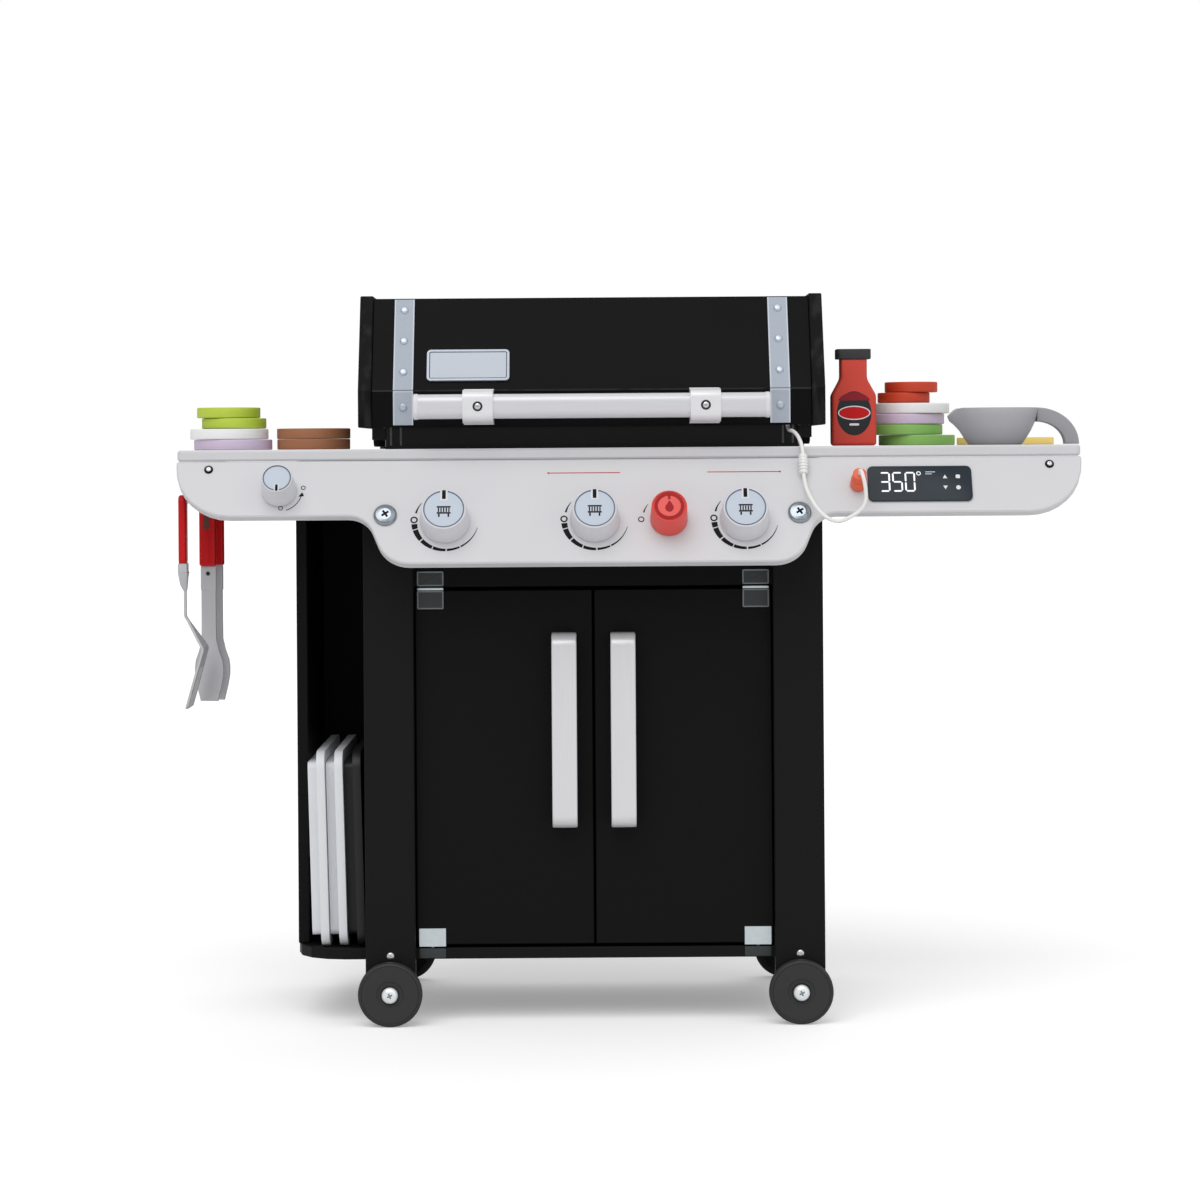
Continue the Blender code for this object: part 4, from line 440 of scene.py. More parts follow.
def paint_lid_fold_highlight(look):
    """A painted highlight along the lid's fold, broken up by noise."""
    # Noise breaks up the painted highlight along the fold.
    highlight_breaks = look.noise(70).between(0.25, 0.55, 0.3, 1)
    look.lay_over(look.axis("Z").near(LID_FOLD, 0.6) * highlight_breaks, 0.055, 0.055, 0.057)


def dust_lid_side(look):
    """Dusty streaks down the lid's proud side boards."""
    streaks = look.noise(110, 5, (1, 1, 0.22)).between(0.46, 0.7)
    look.lay_over(streaks * 0.4, 0.038, 0.038, 0.038)


def paint_strap_light_and_shade(look):
    """Painted highlights along the straps' edges, and at the lid's fold painted shade with a painted
    highlight under it.
    """
    middle = (look.axis("X") - CABINET.x).size().near(STRAP_ACROSS, STRAP_HALF - 1.1)
    # Painted highlights along both edges of each strap.
    look.lay_over((1 - middle) * 0.75, 0.62, 0.66, 0.73)
    # Painted shade in the fold's crease, then a painted highlight just under it.
    look.lay_over(look.axis("Z").near(LID_FOLD + 0.4, 0.5) * 0.85, 0.12, 0.14, 0.17)
    look.lay_over(look.axis("Z").near(LID_FOLD - 0.8, 0.6) * 0.75, 0.58, 0.61, 0.66)


def paint_corner_reflections(look):
    """Two pale lines up each front corner of the firebox, under the lid: painted reflections in its
    glossy rounded corners.
    """
    from_middle = (look.axis("X") - CABINET.x).size()
    # Where the painted reflections run, measured from the firebox's middle.
    lines = from_middle.near(173.3, 0.9) + from_middle.near(182.4, 1)
    under_lid = look.axis("Z").near(DECK_TOP + 11.5, 8.2)
    in_front = look.axis("Y").below(CABINET.y + 32 * MM)
    look.lay_over(lines * under_lid * in_front * 0.8, 0.15, 0.15, 0.155)


def make_looks():
    made = {"screen": screen_glass(), "lit digit": lit_digit()}
    for kind, table in KINDS.items():
        for name, settings in table.items():
            made[name] = kind(name, *settings)
    paint_lid_fold_highlight(made["lid front"])
    dust_lid_side(made["lid side"])
    paint_strap_light_and_shade(made["strap blue"])
    paint_corner_reflections(made["glossy enamel"])
    return {name: look.material for name, look in made.items()}


# Modelling by edit-mode steps


def activate(obj):
    bpy.ops.object.select_all(action="DESELECT")
    obj.select_set(True)
    bpy.context.view_layer.objects.active = obj


def edit(obj):
    activate(obj)
    bpy.ops.object.mode_set(mode="EDIT")


def end_edit():
    bpy.ops.object.mode_set(mode="OBJECT")


def select_every(action="SELECT"):
    bpy.ops.mesh.select_all(action=action)


def start(kind, name, look=None, **sizes):
    """Adds a primitive with its finish and enters edit mode with nothing selected."""
    bpy.ops.object.select_all(action="DESELECT")
    getattr(bpy.ops.mesh, f"primitive_{kind}_add")(**sizes)
    obj = bpy.context.object
    obj.name = name
    obj.data.name = name
    if look:
        obj.data.materials.append(LOOKS[look])
    bpy.ops.object.mode_set(mode="EDIT")
    bpy.ops.mesh.select_mode(type="VERT")
    select_every("DESELECT")
    return obj


def pick(kind, test):
    """Selects the faces, edges or vertices whose middle, in millimetres, and way pass a test."""
    obj = bpy.context.edit_object
    shape = bmesh.from_edit_mesh(obj.data)
    bpy.ops.mesh.select_mode(type=kind)
    select_every("DESELECT")
    shape.normal_update()
    if kind == "FACE":
        for face in shape.faces:
            face.select_set(bool(test(face.calc_center_median() / MM, face.normal)))
    elif kind == "EDGE":
        for edge in shape.edges:
            begin, end = edge.verts[0].co, edge.verts[1].co
            edge.select_set(bool(test((begin + end) / 2 / MM, (end - begin).normalized())))
    else:
        for vert in shape.verts:
            vert.select_set(bool(test(vert.co / MM, vert.normal)))
    bmesh.update_edit_mesh(obj.data)


def is_rim(middle, way):
    """Whether an edge runs round a flat shape's face, and not up its side."""
    return abs(way.z) < 0.5


def is_top(middle, way):
    return way.z > 0.9


def bevel(width, segments=3):
    bpy.ops.mesh.bevel(
        offset=width * MM, segments=segments, profile=0.5, affect="EDGES", clamp_overlap=True
    )


def inset(width, depth=0):
    bpy.ops.mesh.inset(thickness=width * MM, depth=depth * MM, use_even_offset=True)


def extrude(*move):
    move = [part * MM for part in move]
    bpy.ops.mesh.extrude_region_move(TRANSFORM_OT_translate={"value": move})


def use_slot(obj, look):
    """Gives what is selected in edit mode its own finish."""
    obj.data.materials.append(LOOKS[look])
    obj.active_material_index = len(obj.data.materials) - 1
    bpy.ops.object.material_slot_assign()


def colour_faces(obj, look, test):
    """Gives the faces that pass a test a finish of their own."""
    edit(obj)
    pick("FACE", test)
    use_slot(obj, look)
    end_edit()


def combine(obj, other, operation, use_self=False):
    """Applies a boolean with a second shape, which goes."""
    activate(obj)
    step = obj.modifiers.new("combine", "BOOLEAN")
    step.operation = operation
    step.object = other
    step.solver = "EXACT"
    step.use_self = use_self
    bpy.ops.object.modifier_apply(modifier=step.name)
    bpy.data.objects.remove(other)


def ease(obj, width):
    """Rounds a piece's sharp edges when it is finished."""
    step = obj.modifiers.new("ease", "BEVEL")
    step.width = width * MM
    step.segments = 2
    step.limit_method = "ANGLE"
    step.angle_limit = math.radians(40)


def settle(obj, place):
    """Applies a placement, so that the object sits at the origin with its place in its mesh."""
    obj.data.transform(place)
    obj.data.update()


def finish(obj, place, body, slot, *replaced, angle=35):
    """Settles a piece in its place, smooths it and hands it to its body."""
    if bpy.context.mode != "OBJECT":
        end_edit()
    activate(obj)
    bpy.ops.object.transform_apply(location=True, rotation=True, scale=True)
    for modifier in list(obj.modifiers):
        bpy.ops.object.modifier_apply(modifier=modifier.name)
    settle(obj, place)
    bpy.ops.object.shade_smooth_by_angle(angle=math.radians(angle))
    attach(obj, body)
    if replaced:
        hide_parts(*replaced)
    return obj


def twin(obj, name, across, body):
    """A copy with its own mesh, moved to the right."""
    made = obj.copy()
    made.parent = None
    made.data = obj.data.copy()
    made.name = name
    made.data.name = name
    link(made)
    made.matrix_world = Matrix()
    settle(made, at(across, 0, 0))
    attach(made, body)


# Outlines, in millimetres


def fillet(corners, steps=6):
    """The outline through (along, up, radius) corners, each turned as an arc of its radius."""
    outline = []
    for step, (along, up, radius) in enumerate(corners):
        here = Vector((along, up))
        if not radius:
            outline.append(here)
            continue
        before = (Vector(corners[step - 1][:2]) - here).normalized()
        after = (Vector(corners[(step + 1) % len(corners)][:2]) - here).normalized()
        half = before.angle(after) / 2
        centre = here + (before + after).normalized() * radius / math.sin(half)
        start_arm = here + before * radius / math.tan(half) - centre
        end_arm = here + after * radius / math.tan(half) - centre
        sweep = start_arm.angle_signed(end_arm)
        for part in range(steps + 1):
            outline.append(centre + Matrix.Rotation(-sweep * part / steps, 2) @ start_arm)
    return outline


def round_box(left, right, low, high, radius, steps=6):
    corners = ((left, low), (right, low), (right, high), (left, high))
    return fillet([(*corner, radius) for corner in corners], steps)


def bar(half, low, high, radius, steps=6):
    """A rounded upright bar with X in its middle."""
    return round_box(-half, half, low, high, radius, steps)


def mirrored(right):
    """Corners down or up the right side, and then back again on the left."""
    return [*right, *((-along, up, radius) for along, up, radius in reversed(right))]


def oval(wide, tall, centre, steps=48):
    outline = []
    for step in range(steps):
        angle = math.tau * step / steps
        reach = Vector((wide / 2 * math.cos(angle), tall / 2 * math.sin(angle)))
        outline.append(Vector(centre) + reach)
    return outline


def band(radius, width, start_angle, end_angle, centre=(0, 0), steps=24):
    """An arc band's outline, in degrees; the width is a number or a function of the angle."""
    outer = []
    inner = []
    for step in range(steps + 1):
        angle = start_angle + (end_angle - start_angle) * step / steps
        wide = width(angle) if callable(width) else width
        way = Vector((math.cos(math.radians(angle)), math.sin(math.radians(angle))))
        outer.append(Vector(centre) + way * radius)
        inner.append(Vector(centre) + way * (radius - wide))
    return outer + inner[::-1]


def ring(radius, width, centre, steps):
    """A ring as two half bands."""
    return [band(radius, width, begin, begin + 180, centre, steps) for begin in (0, 180)]


def sheet_path(spots, thick):
    """The side view of a bent sheet that follows a path of (along, up) points."""
    path = [Vector(spot) for spot in spots]
    near = []
    far = []
    for step, spot in enumerate(path):
        before = path[max(step - 1, 0)]
        after = path[min(step + 1, len(path) - 1)]
        way = (after - before).normalized()
        side = Vector((way.y, -way.x)) * thick / 2
        near.append(spot + side)
        far.append(spot - side)
    return near + far[::-1]


# Shapes drawn point by point


def draw(points):
    """Adds a plane to the mesh in edit mode, folds it to a point and draws a path with it."""
    bpy.ops.mesh.select_mode(type="VERT")
    select_every("DESELECT")
    bpy.ops.mesh.primitive_plane_add(size=0.01)
    bpy.ops.mesh.merge(type="CENTER")
    bpy.ops.transform.translate(value=[part * MM for part in points[0]])
    for before, after in zip(points, points[1:]):
        extrude(*(end - begin for begin, end in zip(before, after)))


def blank(name, look):
    """An empty mesh in edit mode."""
    obj = start("plane", name, look, size=0.01)
    select_every()
    bpy.ops.mesh.delete(type="VERT")
    return obj


def plate(name, look, outlines, thick, edge=0, segments=3):
    """Flat shapes in the XY plane, filled, raised by a thickness and eased along their rims."""
    obj = blank(name, look)
    for outline in outlines:
        draw([(*point, 0) for point in outline])
        bpy.ops.mesh.select_linked()
        bpy.ops.mesh.edge_face_add()
    select_every()
    extrude(0, 0, thick)
    select_every()
    bpy.ops.mesh.normals_make_consistent(inside=False)
    if edge:
        pick("EDGE", is_rim)
        bevel(edge, segments)
    end_edit()
    return obj


def lathe(name, look, profile, steps=72):
    """A turned shape: its (radius, height) profile is drawn from the axis and spun about Z."""
    obj = blank(name, look)
    draw([(radius, 0, up) for radius, up in profile])
    select_every()
    bpy.ops.mesh.spin(steps=steps, angle=math.tau, center=(0, 0, 0), axis=(0, 0, 1))
    select_every()
    bpy.ops.mesh.remove_doubles(threshold=0.000002)
    bpy.ops.mesh.normals_make_consistent(inside=False)
    end_edit()
    return obj


def crossed(name, look, side_view, front_view, wide):
    """A strip that has one outline from the side and another from the front."""
    strip = plate(name, look, [side_view], wide)
    settle(strip, at(-wide / 2, 0, 0) @ AT_SIDE)
    trim = plate("trim", None, [front_view], 200)
    settle(trim, at(0, 100, 0) @ AT_FRONT)
    combine(strip, trim, "INTERSECT")
    return strip


def cut(obj, cutter):
    combine(obj, cutter, "DIFFERENCE", use_self=True)


def drill(obj, radius):
    """Drills a round hole through a piece from side to side, at its origin."""
    cutter = start("cylinder", "drill", vertices=32, radius=radius * MM, depth=30 * MM)
    select_every()
    bpy.ops.mesh.subdivide(number_cuts=1)
    end_edit()
    settle(cutter, AT_SIDE)
    cut(obj, cutter)


# Screws and prints

PRINT_THICK = 0.3
PRINT_SUNK = 0.18


def cross_cutter(size, wide, deep):
    """The shape of a cross-head driver's tip, pointing down from height 0."""
    obj = start("cube", "driver", size=MM, scale=(size, wide, deep * 2))
    bpy.ops.mesh.primitive_cube_add(size=MM, scale=(wide, size, deep * 2))
    pick("VERT", lambda spot, way: spot.z < 0)
    bpy.ops.transform.resize(value=(0.4, 0.4, 1), center_override=(0, 0, 0))
    end_edit()
    return obj


def domed_head(name, look, radius, tall):
    """A domed screw head, standing on height 0."""
    corners = (
        (0, 0, 0), (radius, 0, 0), (radius, tall * 0.35, radius * 0.05),
        (radius * 0.86, tall * 0.72, radius * 0.3), (radius * 0.5, tall * 0.96, radius * 0.3),
        (0, tall, 0),
    )
    return lathe(name, look, fillet(corners, 4), 48)


def screw_head(name, look, radius, tall, cross, degrees=0, over=0.2):
    """A domed head with a cross recess of a size, width and depth from just over its top."""
    head = domed_head(name, look, radius, tall)
    cutter = cross_cutter(*cross)
    settle(cutter, at(0, 0, tall + over) @ turned(degrees, "Z"))
    cut(head, cutter)
    return head


def painted_screw_shade(name, radius):
    """A dark ring under a small screw head: painted shade of the sunk hole it sits in."""
    profile = [(0, 0), (radius, 0), (radius, 0.3), (radius * 0.8, 0.6), (0, 0.4)]
    return lathe(name, "black plastic", profile, 40)


def panel_print(name, look, outlines, across, down, slot="black_board"):
    """Printing on the panel, which stands out of the paint by a tenth of a millimetre."""
    mark = plate(name, look, outlines, PRINT_THICK)
    finish(mark, on_panel(across, down, -PRINT_SUNK), "cabinet", slot)


# Finishes of the solids that show as they are

PAINTED = {
    "leg board": "leg_front_left leg_front_right leg_rear_left leg_rear_right bottom_shelf",
    "black board": "side_panel_left side_panel_right rack_wall back_panel top_rail panel_batten "
    "door_left door_right",
    "lid side": "lid_side_left lid_side_right",
    "lid front": "lid_front_lower lid_front_upper",
    "lid board": "lid_top lid_back",
    "white board": "deck_board control_panel",
    "glossy enamel": "firebox",
    "black enamel": "cooking_grate",
    "zinc": "axle_left axle_right tool_hooks probe",
    "strap blue": "lid_strap_left lid_strap_right",
    # The top hinges get a darker copy of the lower hinges' sheet: painted shade.
    "hinge sheet": "hinge_top_left hinge_top_right",
    "bright hinge sheet": "hinge_bottom_left hinge_bottom_right",
}


def paint_solids():
    for look, nodes in PAINTED.items():
        for node in nodes.split():
            materials = frame["nodes"][node].data.materials
            materials.clear()
            materials.append(LOOKS[look])


# The probe's lead and plug

LEAD_THICK = 3.5
LEAD_STEP = 3
SLEEVE_SPOT = (188.4, -25.2, 503)
LEAD_ROUTE = (
    (237, -47.6, 494), (237, -53, 496.8), (237.7, -58.5, 495.5), (239.5, -61.5, 489),
    (241, -62, 479), (240.5, -62, 469), (234.5, -62, 460.5), (219.5, -61, 452.5),
    (208.5, -59, 454.5), (200, -55, 462), (194.8, -49, 470), (190.5, -40.5, 480),
    (188.8, -33, 489), (188.4, -27.7, 496.5), SLEEVE_SPOT, (188.4, -22.7, 509.5),
    (188, -20, 516.5), (186.6, -14.5, 523), (184.2, -6, 528.8), (181.2, 3, 532.2),
    (179, 10.5, 533), (177.7, 16.5, 534.8), (176.8, 19.3, 540), (176.2, 19.8, 545),
    (175.5, 21.5, 549.2), (174, 26.8, 551.8), (172.5, 32.2, 549), (171, 35, 543),
    (169, 38, 536.5), (165, 42.5, 531.8), (158, 48, 531.2), (150, 54, 531.2),
)


def smooth_route(points, step):
    """Points about a step apart on one smooth curve through the chosen points."""
    spots = [Vector(point) for point in points]
    ends = [2 * spots[0] - spots[1], *spots, 2 * spots[-1] - spots[-2]]
    route = []
    for first, begin, end, last in zip(ends, ends[1:], ends[2:], ends[3:]):
        count = max(1, round((end - begin).length / step))
        for part in range(count):
            share = part / count
            bend = (2 * first - 5 * begin + 4 * end - last) * share**2
            twist = (3 * begin - first - 3 * end + last) * share**3
            route.append((2 * begin + (end - first) * share + bend + twist) / 2)
    route.append(spots[-1])
    return route


def lead_sleeve():
    """The ribbed grip on the lead where it hangs over the deck's edge."""
    inside = 1.8
    ribs = 6
    corners = [(inside, -9.5, 0), (3.4, -9.5, 0.5)]
    for step in range(ribs):
        low = step * 2.8 - 8.5
        wide = 3.8 + 0.6 * math.sin(math.pi * (step + 0.5) / ribs)
        corners += [(wide, low, 0.3), (wide, low + 1.8, 0.3)]
        corners += [(wide - 0.7, low + 2.1, 0), (wide - 0.7, low + 2.6, 0)]
    corners += [(3.4, 9, 0.4), (inside, 9.5, 0), (inside, -9.5, 0)]
    sleeve = lathe("probe_lead_grip", "cord", fillet(corners, 3), 40)
    way = Vector((0, 5, 13)).to_track_quat("Z", "Y").to_matrix().to_4x4()
    return finish(sleeve, on_cabinet(*SLEEVE_SPOT) @ way, "cabinet", "white_plastic")


def add_lead():
    route = [AT_CABINET @ (spot * MM) for spot in smooth_route(LEAD_ROUTE, LEAD_STEP)]
    curve = bpy.data.curves.new("probe_lead", "CURVE")
    curve.dimensions = "3D"
    curve.bevel_depth = LEAD_THICK / 2 * MM
    curve.bevel_resolution = 5
    curve.use_fill_caps = True
    spline = curve.splines.new("POLY")
    spline.points.add(len(route) - 1)
    for point, spot in zip(spline.points, route):
        point.co = (*spot, 1)
    lead = bpy.data.objects.new("probe_lead", curve)
    link(lead)
    curve.materials.append(LOOKS["cord"])
    sleeve = lead_sleeve()
    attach(lead, "cabinet")
    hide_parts("probe_cord")
    sum((after - before).length for before, after in zip(route, route[1:]))


def add_plug():
    """The ribbed orange plug that the lead leaves the panel by."""
    corners = [(0, 0.3, 0), (6.8, 0.3, 0), (7.3, 1, 0.4), (7, 12, 0.8)]
    for step in range(5):
        low = 12.6 + step * 1.9
        corners += [(5.6, low, 0), (6.1, low + 0.4, 0.2), (6.1, low + 1.3, 0.2)]
    corners += [(5, 22, 0.8), (0, 22.2, 0)]
    plug = lathe("probe_plug_ribbed", "plug orange", fillet(corners, 4), 48)
    finish(plug, on_panel(237, 28), "cabinet", "orange_plastic", "probe_plug")


# Knobs and their prints

KNOB_DOWN = 61
KNOB_ACROSS = {"left": -131, "centre": 2, "right": 135}
SIDE_KNOB = (-279, 30)
RED_KNOB = (67.7, KNOB_DOWN)


def knob_shape(name, look, foot, cap, tall, groove):
    """A tapered knob with a rolled rim, a thin groove and a cap set a little below the rim."""
    rim = (cap - groove) * 0.3
    corners = (
        (0, 0.3, 0), (foot - 0.6, 0.3, 0), (foot, 1.2, 0), (cap, tall - 0.6, 1.8),
        (cap - rim * 2.2, tall, rim * 0.7), (groove + 0.3, tall - 0.5, 0), (groove, tall - 1.3, 0),
        (groove - 0.4, tall - 1.3, 0), (groove - 0.6, tall - 0.5, 0.3),
        (groove * 0.6, tall - 0.2, 0), (0, tall - 0.1, 0),
    )
    return lathe(name, look, fillet(corners, 4))


def white_knob(name, place, body, sizes, pointing):
    """A white knob with a blue-grey cap, a dark ring round it, and a black bar in a white field."""
    foot, cap, tall, groove = sizes
    obj = knob_shape(name + "_turned", "knob plastic", *sizes)

    def on_cap(spot, way):
        return spot.z > tall - 1.6 and spot.xy.length < groove - 0.5

    def in_groove(spot, way):
        return spot.z > tall - 1.8 and groove - 0.8 < spot.xy.length < groove + 0.45

    colour_faces(obj, "knob cap", on_cap)
    colour_faces(obj, "cap ring", in_groove)
    finish(obj, place, body, "white_plastic", name)
    pointed = place @ turned(pointing, "Z")
    outline = bar(cap * 0.165, groove * 0.47, groove + 0.9, 0.9)
    field = plate(name + "_bar_field", "knob plastic", [outline], 0.8, 0.1, 1)
    finish(field, pointed @ at(0, 0, tall - 0.8), body, "white_plastic")
    outline = bar(cap * 0.083, groove * 0.55, groove + 0.7, 0.4)
    pointer = plate(name + "_bar", "black ink", [outline], 0.4, 0.1, 1)
    finish(pointer, pointed @ at(0, 0, tall - 0.1), body, "black_plastic")


def grate_mark(name, place, body):
    """A plain mark of a grill grate: five bars in a frame on two short feet."""
    outlines = [round_box(x - 0.55, x + 0.55, -1.6, 2.6, 0.2, 2) for x in (-4.6, -2.3, 0, 2.3, 4.6)]
    outlines += [bar(6.2, 2.8, 4.2, 0.5, 3), bar(6.2, -3.2, -1.8, 0.5, 3)]
    outlines += [round_box(x - 0.7, x + 0.7, -6.4, -3.4, 0.3, 2) for x in (-4.2, 4.2)]
    finish(plate(name, "black ink", outlines, PRINT_THICK), place, body, "black_plastic")


def dial_width(angle):
    """The printed bands' width, which thins out as they go round."""
    return 0.4 + 5 * ((348 - angle) / 163) ** 1.2


def dial_print(name, across):
    """Round each big knob: an off mark, a tick over it and six bands that thin out."""
    tick = band(27.8, lambda angle: 0.4 + 1.3 * (angle - 139) / 24, 139, 163, steps=8)
    outlines = [tick, *ring(3.3, 1.3, (-27.3, 1.3), 12)]
    stops = ((186, 196.5), (198.5, 221), (223.5, 247), (249, 272), (274.5, 297.5), (299.5, 347))
    outlines += [band(29.8, dial_width, begin, end, steps=14) for begin, end in stops]
    panel_print(name, "black ink", outlines, across, KNOB_DOWN)


def add_big_knobs():
    for side, across in KNOB_ACROSS.items():
        name = "knob_" + side
        place = on_panel(across, KNOB_DOWN)
        white_knob(name, place, "dial_" + side, (22.2, 19.7, 24, 17.7), 0)
        grate_mark(name + "_grate_mark", place @ at(0, -1.5, 23.7), "dial_" + side)
        dial_print(name + "_dial_print", across)


def add_side_knob():
    white_knob("side_knob", on_panel(*SIDE_KNOB), "dial_side", (15.7, 13.7, 26, 12.2), 180)
    outlines = [
        *ring(2.1, 0.7, (21.3, 3.2), 10),
        *ring(2.1, 0.7, (1.8, -17.2), 10),
        band(20.6, 0.7, 289, 346, steps=16),
        [(22.2, -5.2), (17.2, -5.6), (20.6, -1.3)],
    ]
    panel_print("side_knob_print", "black ink", outlines, *SIDE_KNOB)


def add_red_knob():
    """The red knob with its printed flame, bar and ring, and the off mark beside it."""
    place = on_panel(*RED_KNOB)
    obj = knob_shape("ignition_knob_turned", "orange red plastic", 16.7, 15.7, 27, 13.9)
    finish(obj, place, "dial_ignition", "red_plastic", "ignition_knob")
    flame = [(0, 5.6), (2.1, 2.8), (3.6, 0), (3.8, -2.8), (2.2, -5.2), (0, -6)]
    flame += [(-2.4, -5), (-3.8, -2.4), (-3.2, 0.4), (-1.8, 1.8), (-1.2, 3.4)]
    quarters = [band(13.1, 2.9, begin, begin + 90, steps=12) for begin in (0, 90, 180, 270)]
    outlines = [flame, bar(1.1, 6.6, 10, 0.3, 2), *quarters]
    mark = plate("ignition_flame_mark", "deep red ink", outlines, PRINT_THICK)
    finish(mark, place @ at(0, 0, 26.7), "dial_ignition", "red_plastic")
    tick = band(24, lambda angle: 0.4 + 0.9 * (angle - 140) / 22, 140, 162, steps=8)
    outlines = [*ring(2.8, 0.9, (-24.5, 0.4), 12), tick]
    panel_print("ignition_off_mark", "black ink", outlines, *RED_KNOB)


def add_panel_lines():
    """Two thin red lines, each with a dot at its outer end."""
    outlines = []
    for left, right, dot in ((-39.3, 25, -39.3), (102.7, 167.8, 167.8)):
        outlines += [round_box(left, right, -0.4, 0.4, 0.3, 3), oval(1.8, 1.8, (dot, 0), 12)]
    panel_print("panel_red_lines", "red ink", outlines, 0, 13.7, "red_plastic")


# Display

SEGMENTS = {
    "a": ((0, 2), (1, 2)),
    "b": ((1, 2), (1, 1)),
    "c": ((1, 1), (1, 0)),
    "d": ((0, 0), (1, 0)),
    "e": ((0, 1), (0, 0)),
    "f": ((0, 2), (0, 1)),
    "g": ((0, 1), (1, 1)),
}
DIGIT_LOW = -35.2
DIGIT_WIDE = 7.8
DIGIT_TALL = 18.2
DIGIT_BAR = 1.5


def digit_bar(left, ends):
    """A pointed bar of a seven-bar digit."""
    begin, end = (
        Vector((left + across * DIGIT_WIDE, DIGIT_LOW + up * DIGIT_TALL / 2)) for across, up in ends
    )
    way = (end - begin).normalized()
    side = Vector((-way.y, way.x)) * DIGIT_BAR / 2
    near = begin + way * 0.3
    far = end - way * 0.3
    tip = way * DIGIT_BAR / 2
    return [near, near + tip + side, far - tip + side, far, far - tip - side, near + tip - side]


def add_display():
    glass = plate("display_glass", "screen", [bar(46.5, -17.5, 17.5, 5, 8)], 1.8, 0.5)
    finish(glass, on_panel(292, 27.5, 0.3), "cabinet", "screen_plastic", "display")
    outlines = []
    for lit, left in (("abgcd", 257), ("afgcd", 268.2), ("abcdef", 279.4)):
        outlines += [digit_bar(left, SEGMENTS[key]) for key in lit]
    digits = plate("display_digits", "lit digit", outlines + ring(2, 0.7, (291.2, -17.7), 10), 0.2)
    signs = [
        [(312.6, -22.8), (314.6, -19.2), (316.6, -22.8)],
        [(312.6, -30.2), (316.6, -30.2), (314.6, -33.8)],
        round_box(324.2, 328, -22.8, -19.2, 0.8, 3),
        oval(4.2, 4.2, (326.1, -32), 16),
        round_box(297.2, 306, -16.6, -16, 0.2, 2),
        round_box(297.2, 303, -18.6, -18, 0.2, 2),
    ]
    for piece in (digits, plate("display_buttons", "white plastic", signs, 0.2)):
        finish(piece, on_panel(0, 0, 2.1), "cabinet", "white_plastic")


def add_panel_fasteners():
    for side, across in (("left", -184), ("right", 184)):
        head = screw_head("panel_bolt_" + side, "bolt chrome", 10.4, 4, (11.2, 3, 3), 34)
        finish(head, on_panel(across, 55, 0.1), "cabinet", "zinc_steel")
    for side, across in (("left", -343), ("right", 409)):
        place = on_panel(across, 8, 0.1)
        # A dark ring under each small screw: painted shade of its hole.
        finish(painted_screw_shade("panel_screw_ring_" + side, 4), place, "cabinet", "zinc_steel")
        head = screw_head("panel_screw_" + side, "zinc", 2.8, 1.9, (3, 0.8, 1.2), 20)
        finish(head, place, "cabinet", "zinc_steel")


# Lid: handle, badge, rivets

HANDLE_HEIGHT = 556
HANDLE_NEAR = -19
HANDLE_FAR = -37
HANDLE_HALF = 156
BRACKET_ACROSS = 101.5


def add_handle_bar():
    low, high = HANDLE_HEIGHT - 11, HANDLE_HEIGHT + 11
    outline = round_box(HANDLE_FAR, HANDLE_NEAR, low, high, 7.5, 8)
    grip = plate("lid_handle_bar", "silver", [outline], 2 * HANDLE_HALF, 0.8)
    finish(grip, across_side(-HANDLE_HALF), "lid", "silver_plastic", "lid_handle")
    outline = round_box(HANDLE_FAR - 0.5, HANDLE_NEAR + 0.5, low - 0.5, high + 0.5, 8, 8)
    cap = plate("lid_handle_cap_left", "pale silver", [outline], 4.5, 1.1, 4)
    finish(cap, across_side(-159), "lid", "silver_plastic")
    twin(cap, "lid_handle_cap_right", 313.5, "lid")


def add_handle_brackets():
    """A bracket with rounded lips from the lid's board round the bar, and its screw."""
    back = 4.7
    lip = back - 3
    front = HANDLE_FAR - 1.1
    low, high = HANDLE_HEIGHT - 15, HANDLE_HEIGHT + 15
    corners = (
        (front, low + 3, 6), (front + 12, low, 6), (lip, low, 1), (lip, low - 0.5, 0),
        (back, low - 0.5, 0), (back, high + 0.5, 0), (lip, high + 0.5, 0), (lip, high, 1),
        (front + 12, high, 6), (front, high - 3, 6),
    )
    wide = 27
    bracket = plate("lid_handle_bracket_left", "bracket silver", [fillet(corners, 5)], wide, 0.8)
    finish(bracket, across_side(-BRACKET_ACROSS - wide / 2), "lid", "silver_plastic")
    place = on_cabinet(-BRACKET_ACROSS, front, HANDLE_HEIGHT) @ AT_FRONT
    # A dark ring under the screw head: painted shade of its hole.
    hole_shade = finish(painted_screw_shade("lid_handle_washer_left", 4.4), place, "lid", "silver_plastic")
    head = screw_head("lid_handle_screw_left", "zinc", 2.9, 1.6, (3, 0.9, 1.2), 40)
    finish(head, place, "lid", "zinc_steel")
    aside = 2 * BRACKET_ACROSS
    twin(bracket, "lid_handle_bracket_right", aside, "lid")
    twin(hole_shade, "lid_handle_washer_right", aside, "lid")
    twin(head, "lid_handle_screw_right", aside, "lid")


def add_badge():
    """A bare badge: a plate with a raised border round a sunk field."""
    obj = plate("lid_badge_plate", "badge silver", [bar(37.5, -16, 16, 4, 8)], 2, 0.5)
    edit(obj)
    pick("FACE", lambda spot, way: way.z > 0.9 and spot.z > 1.9 and spot.xy.length < 4)
    inset(1.6)
    inset(0.4, -0.5)
    use_slot(obj, "badge line")
    inset(0.6)
    use_slot(obj, "badge field")
    place = AT_SLOPE @ at(-111.5, -0.3, 25) @ AT_FRONT
    finish(obj, place, "lid", "silver_plastic", "lid_badge")


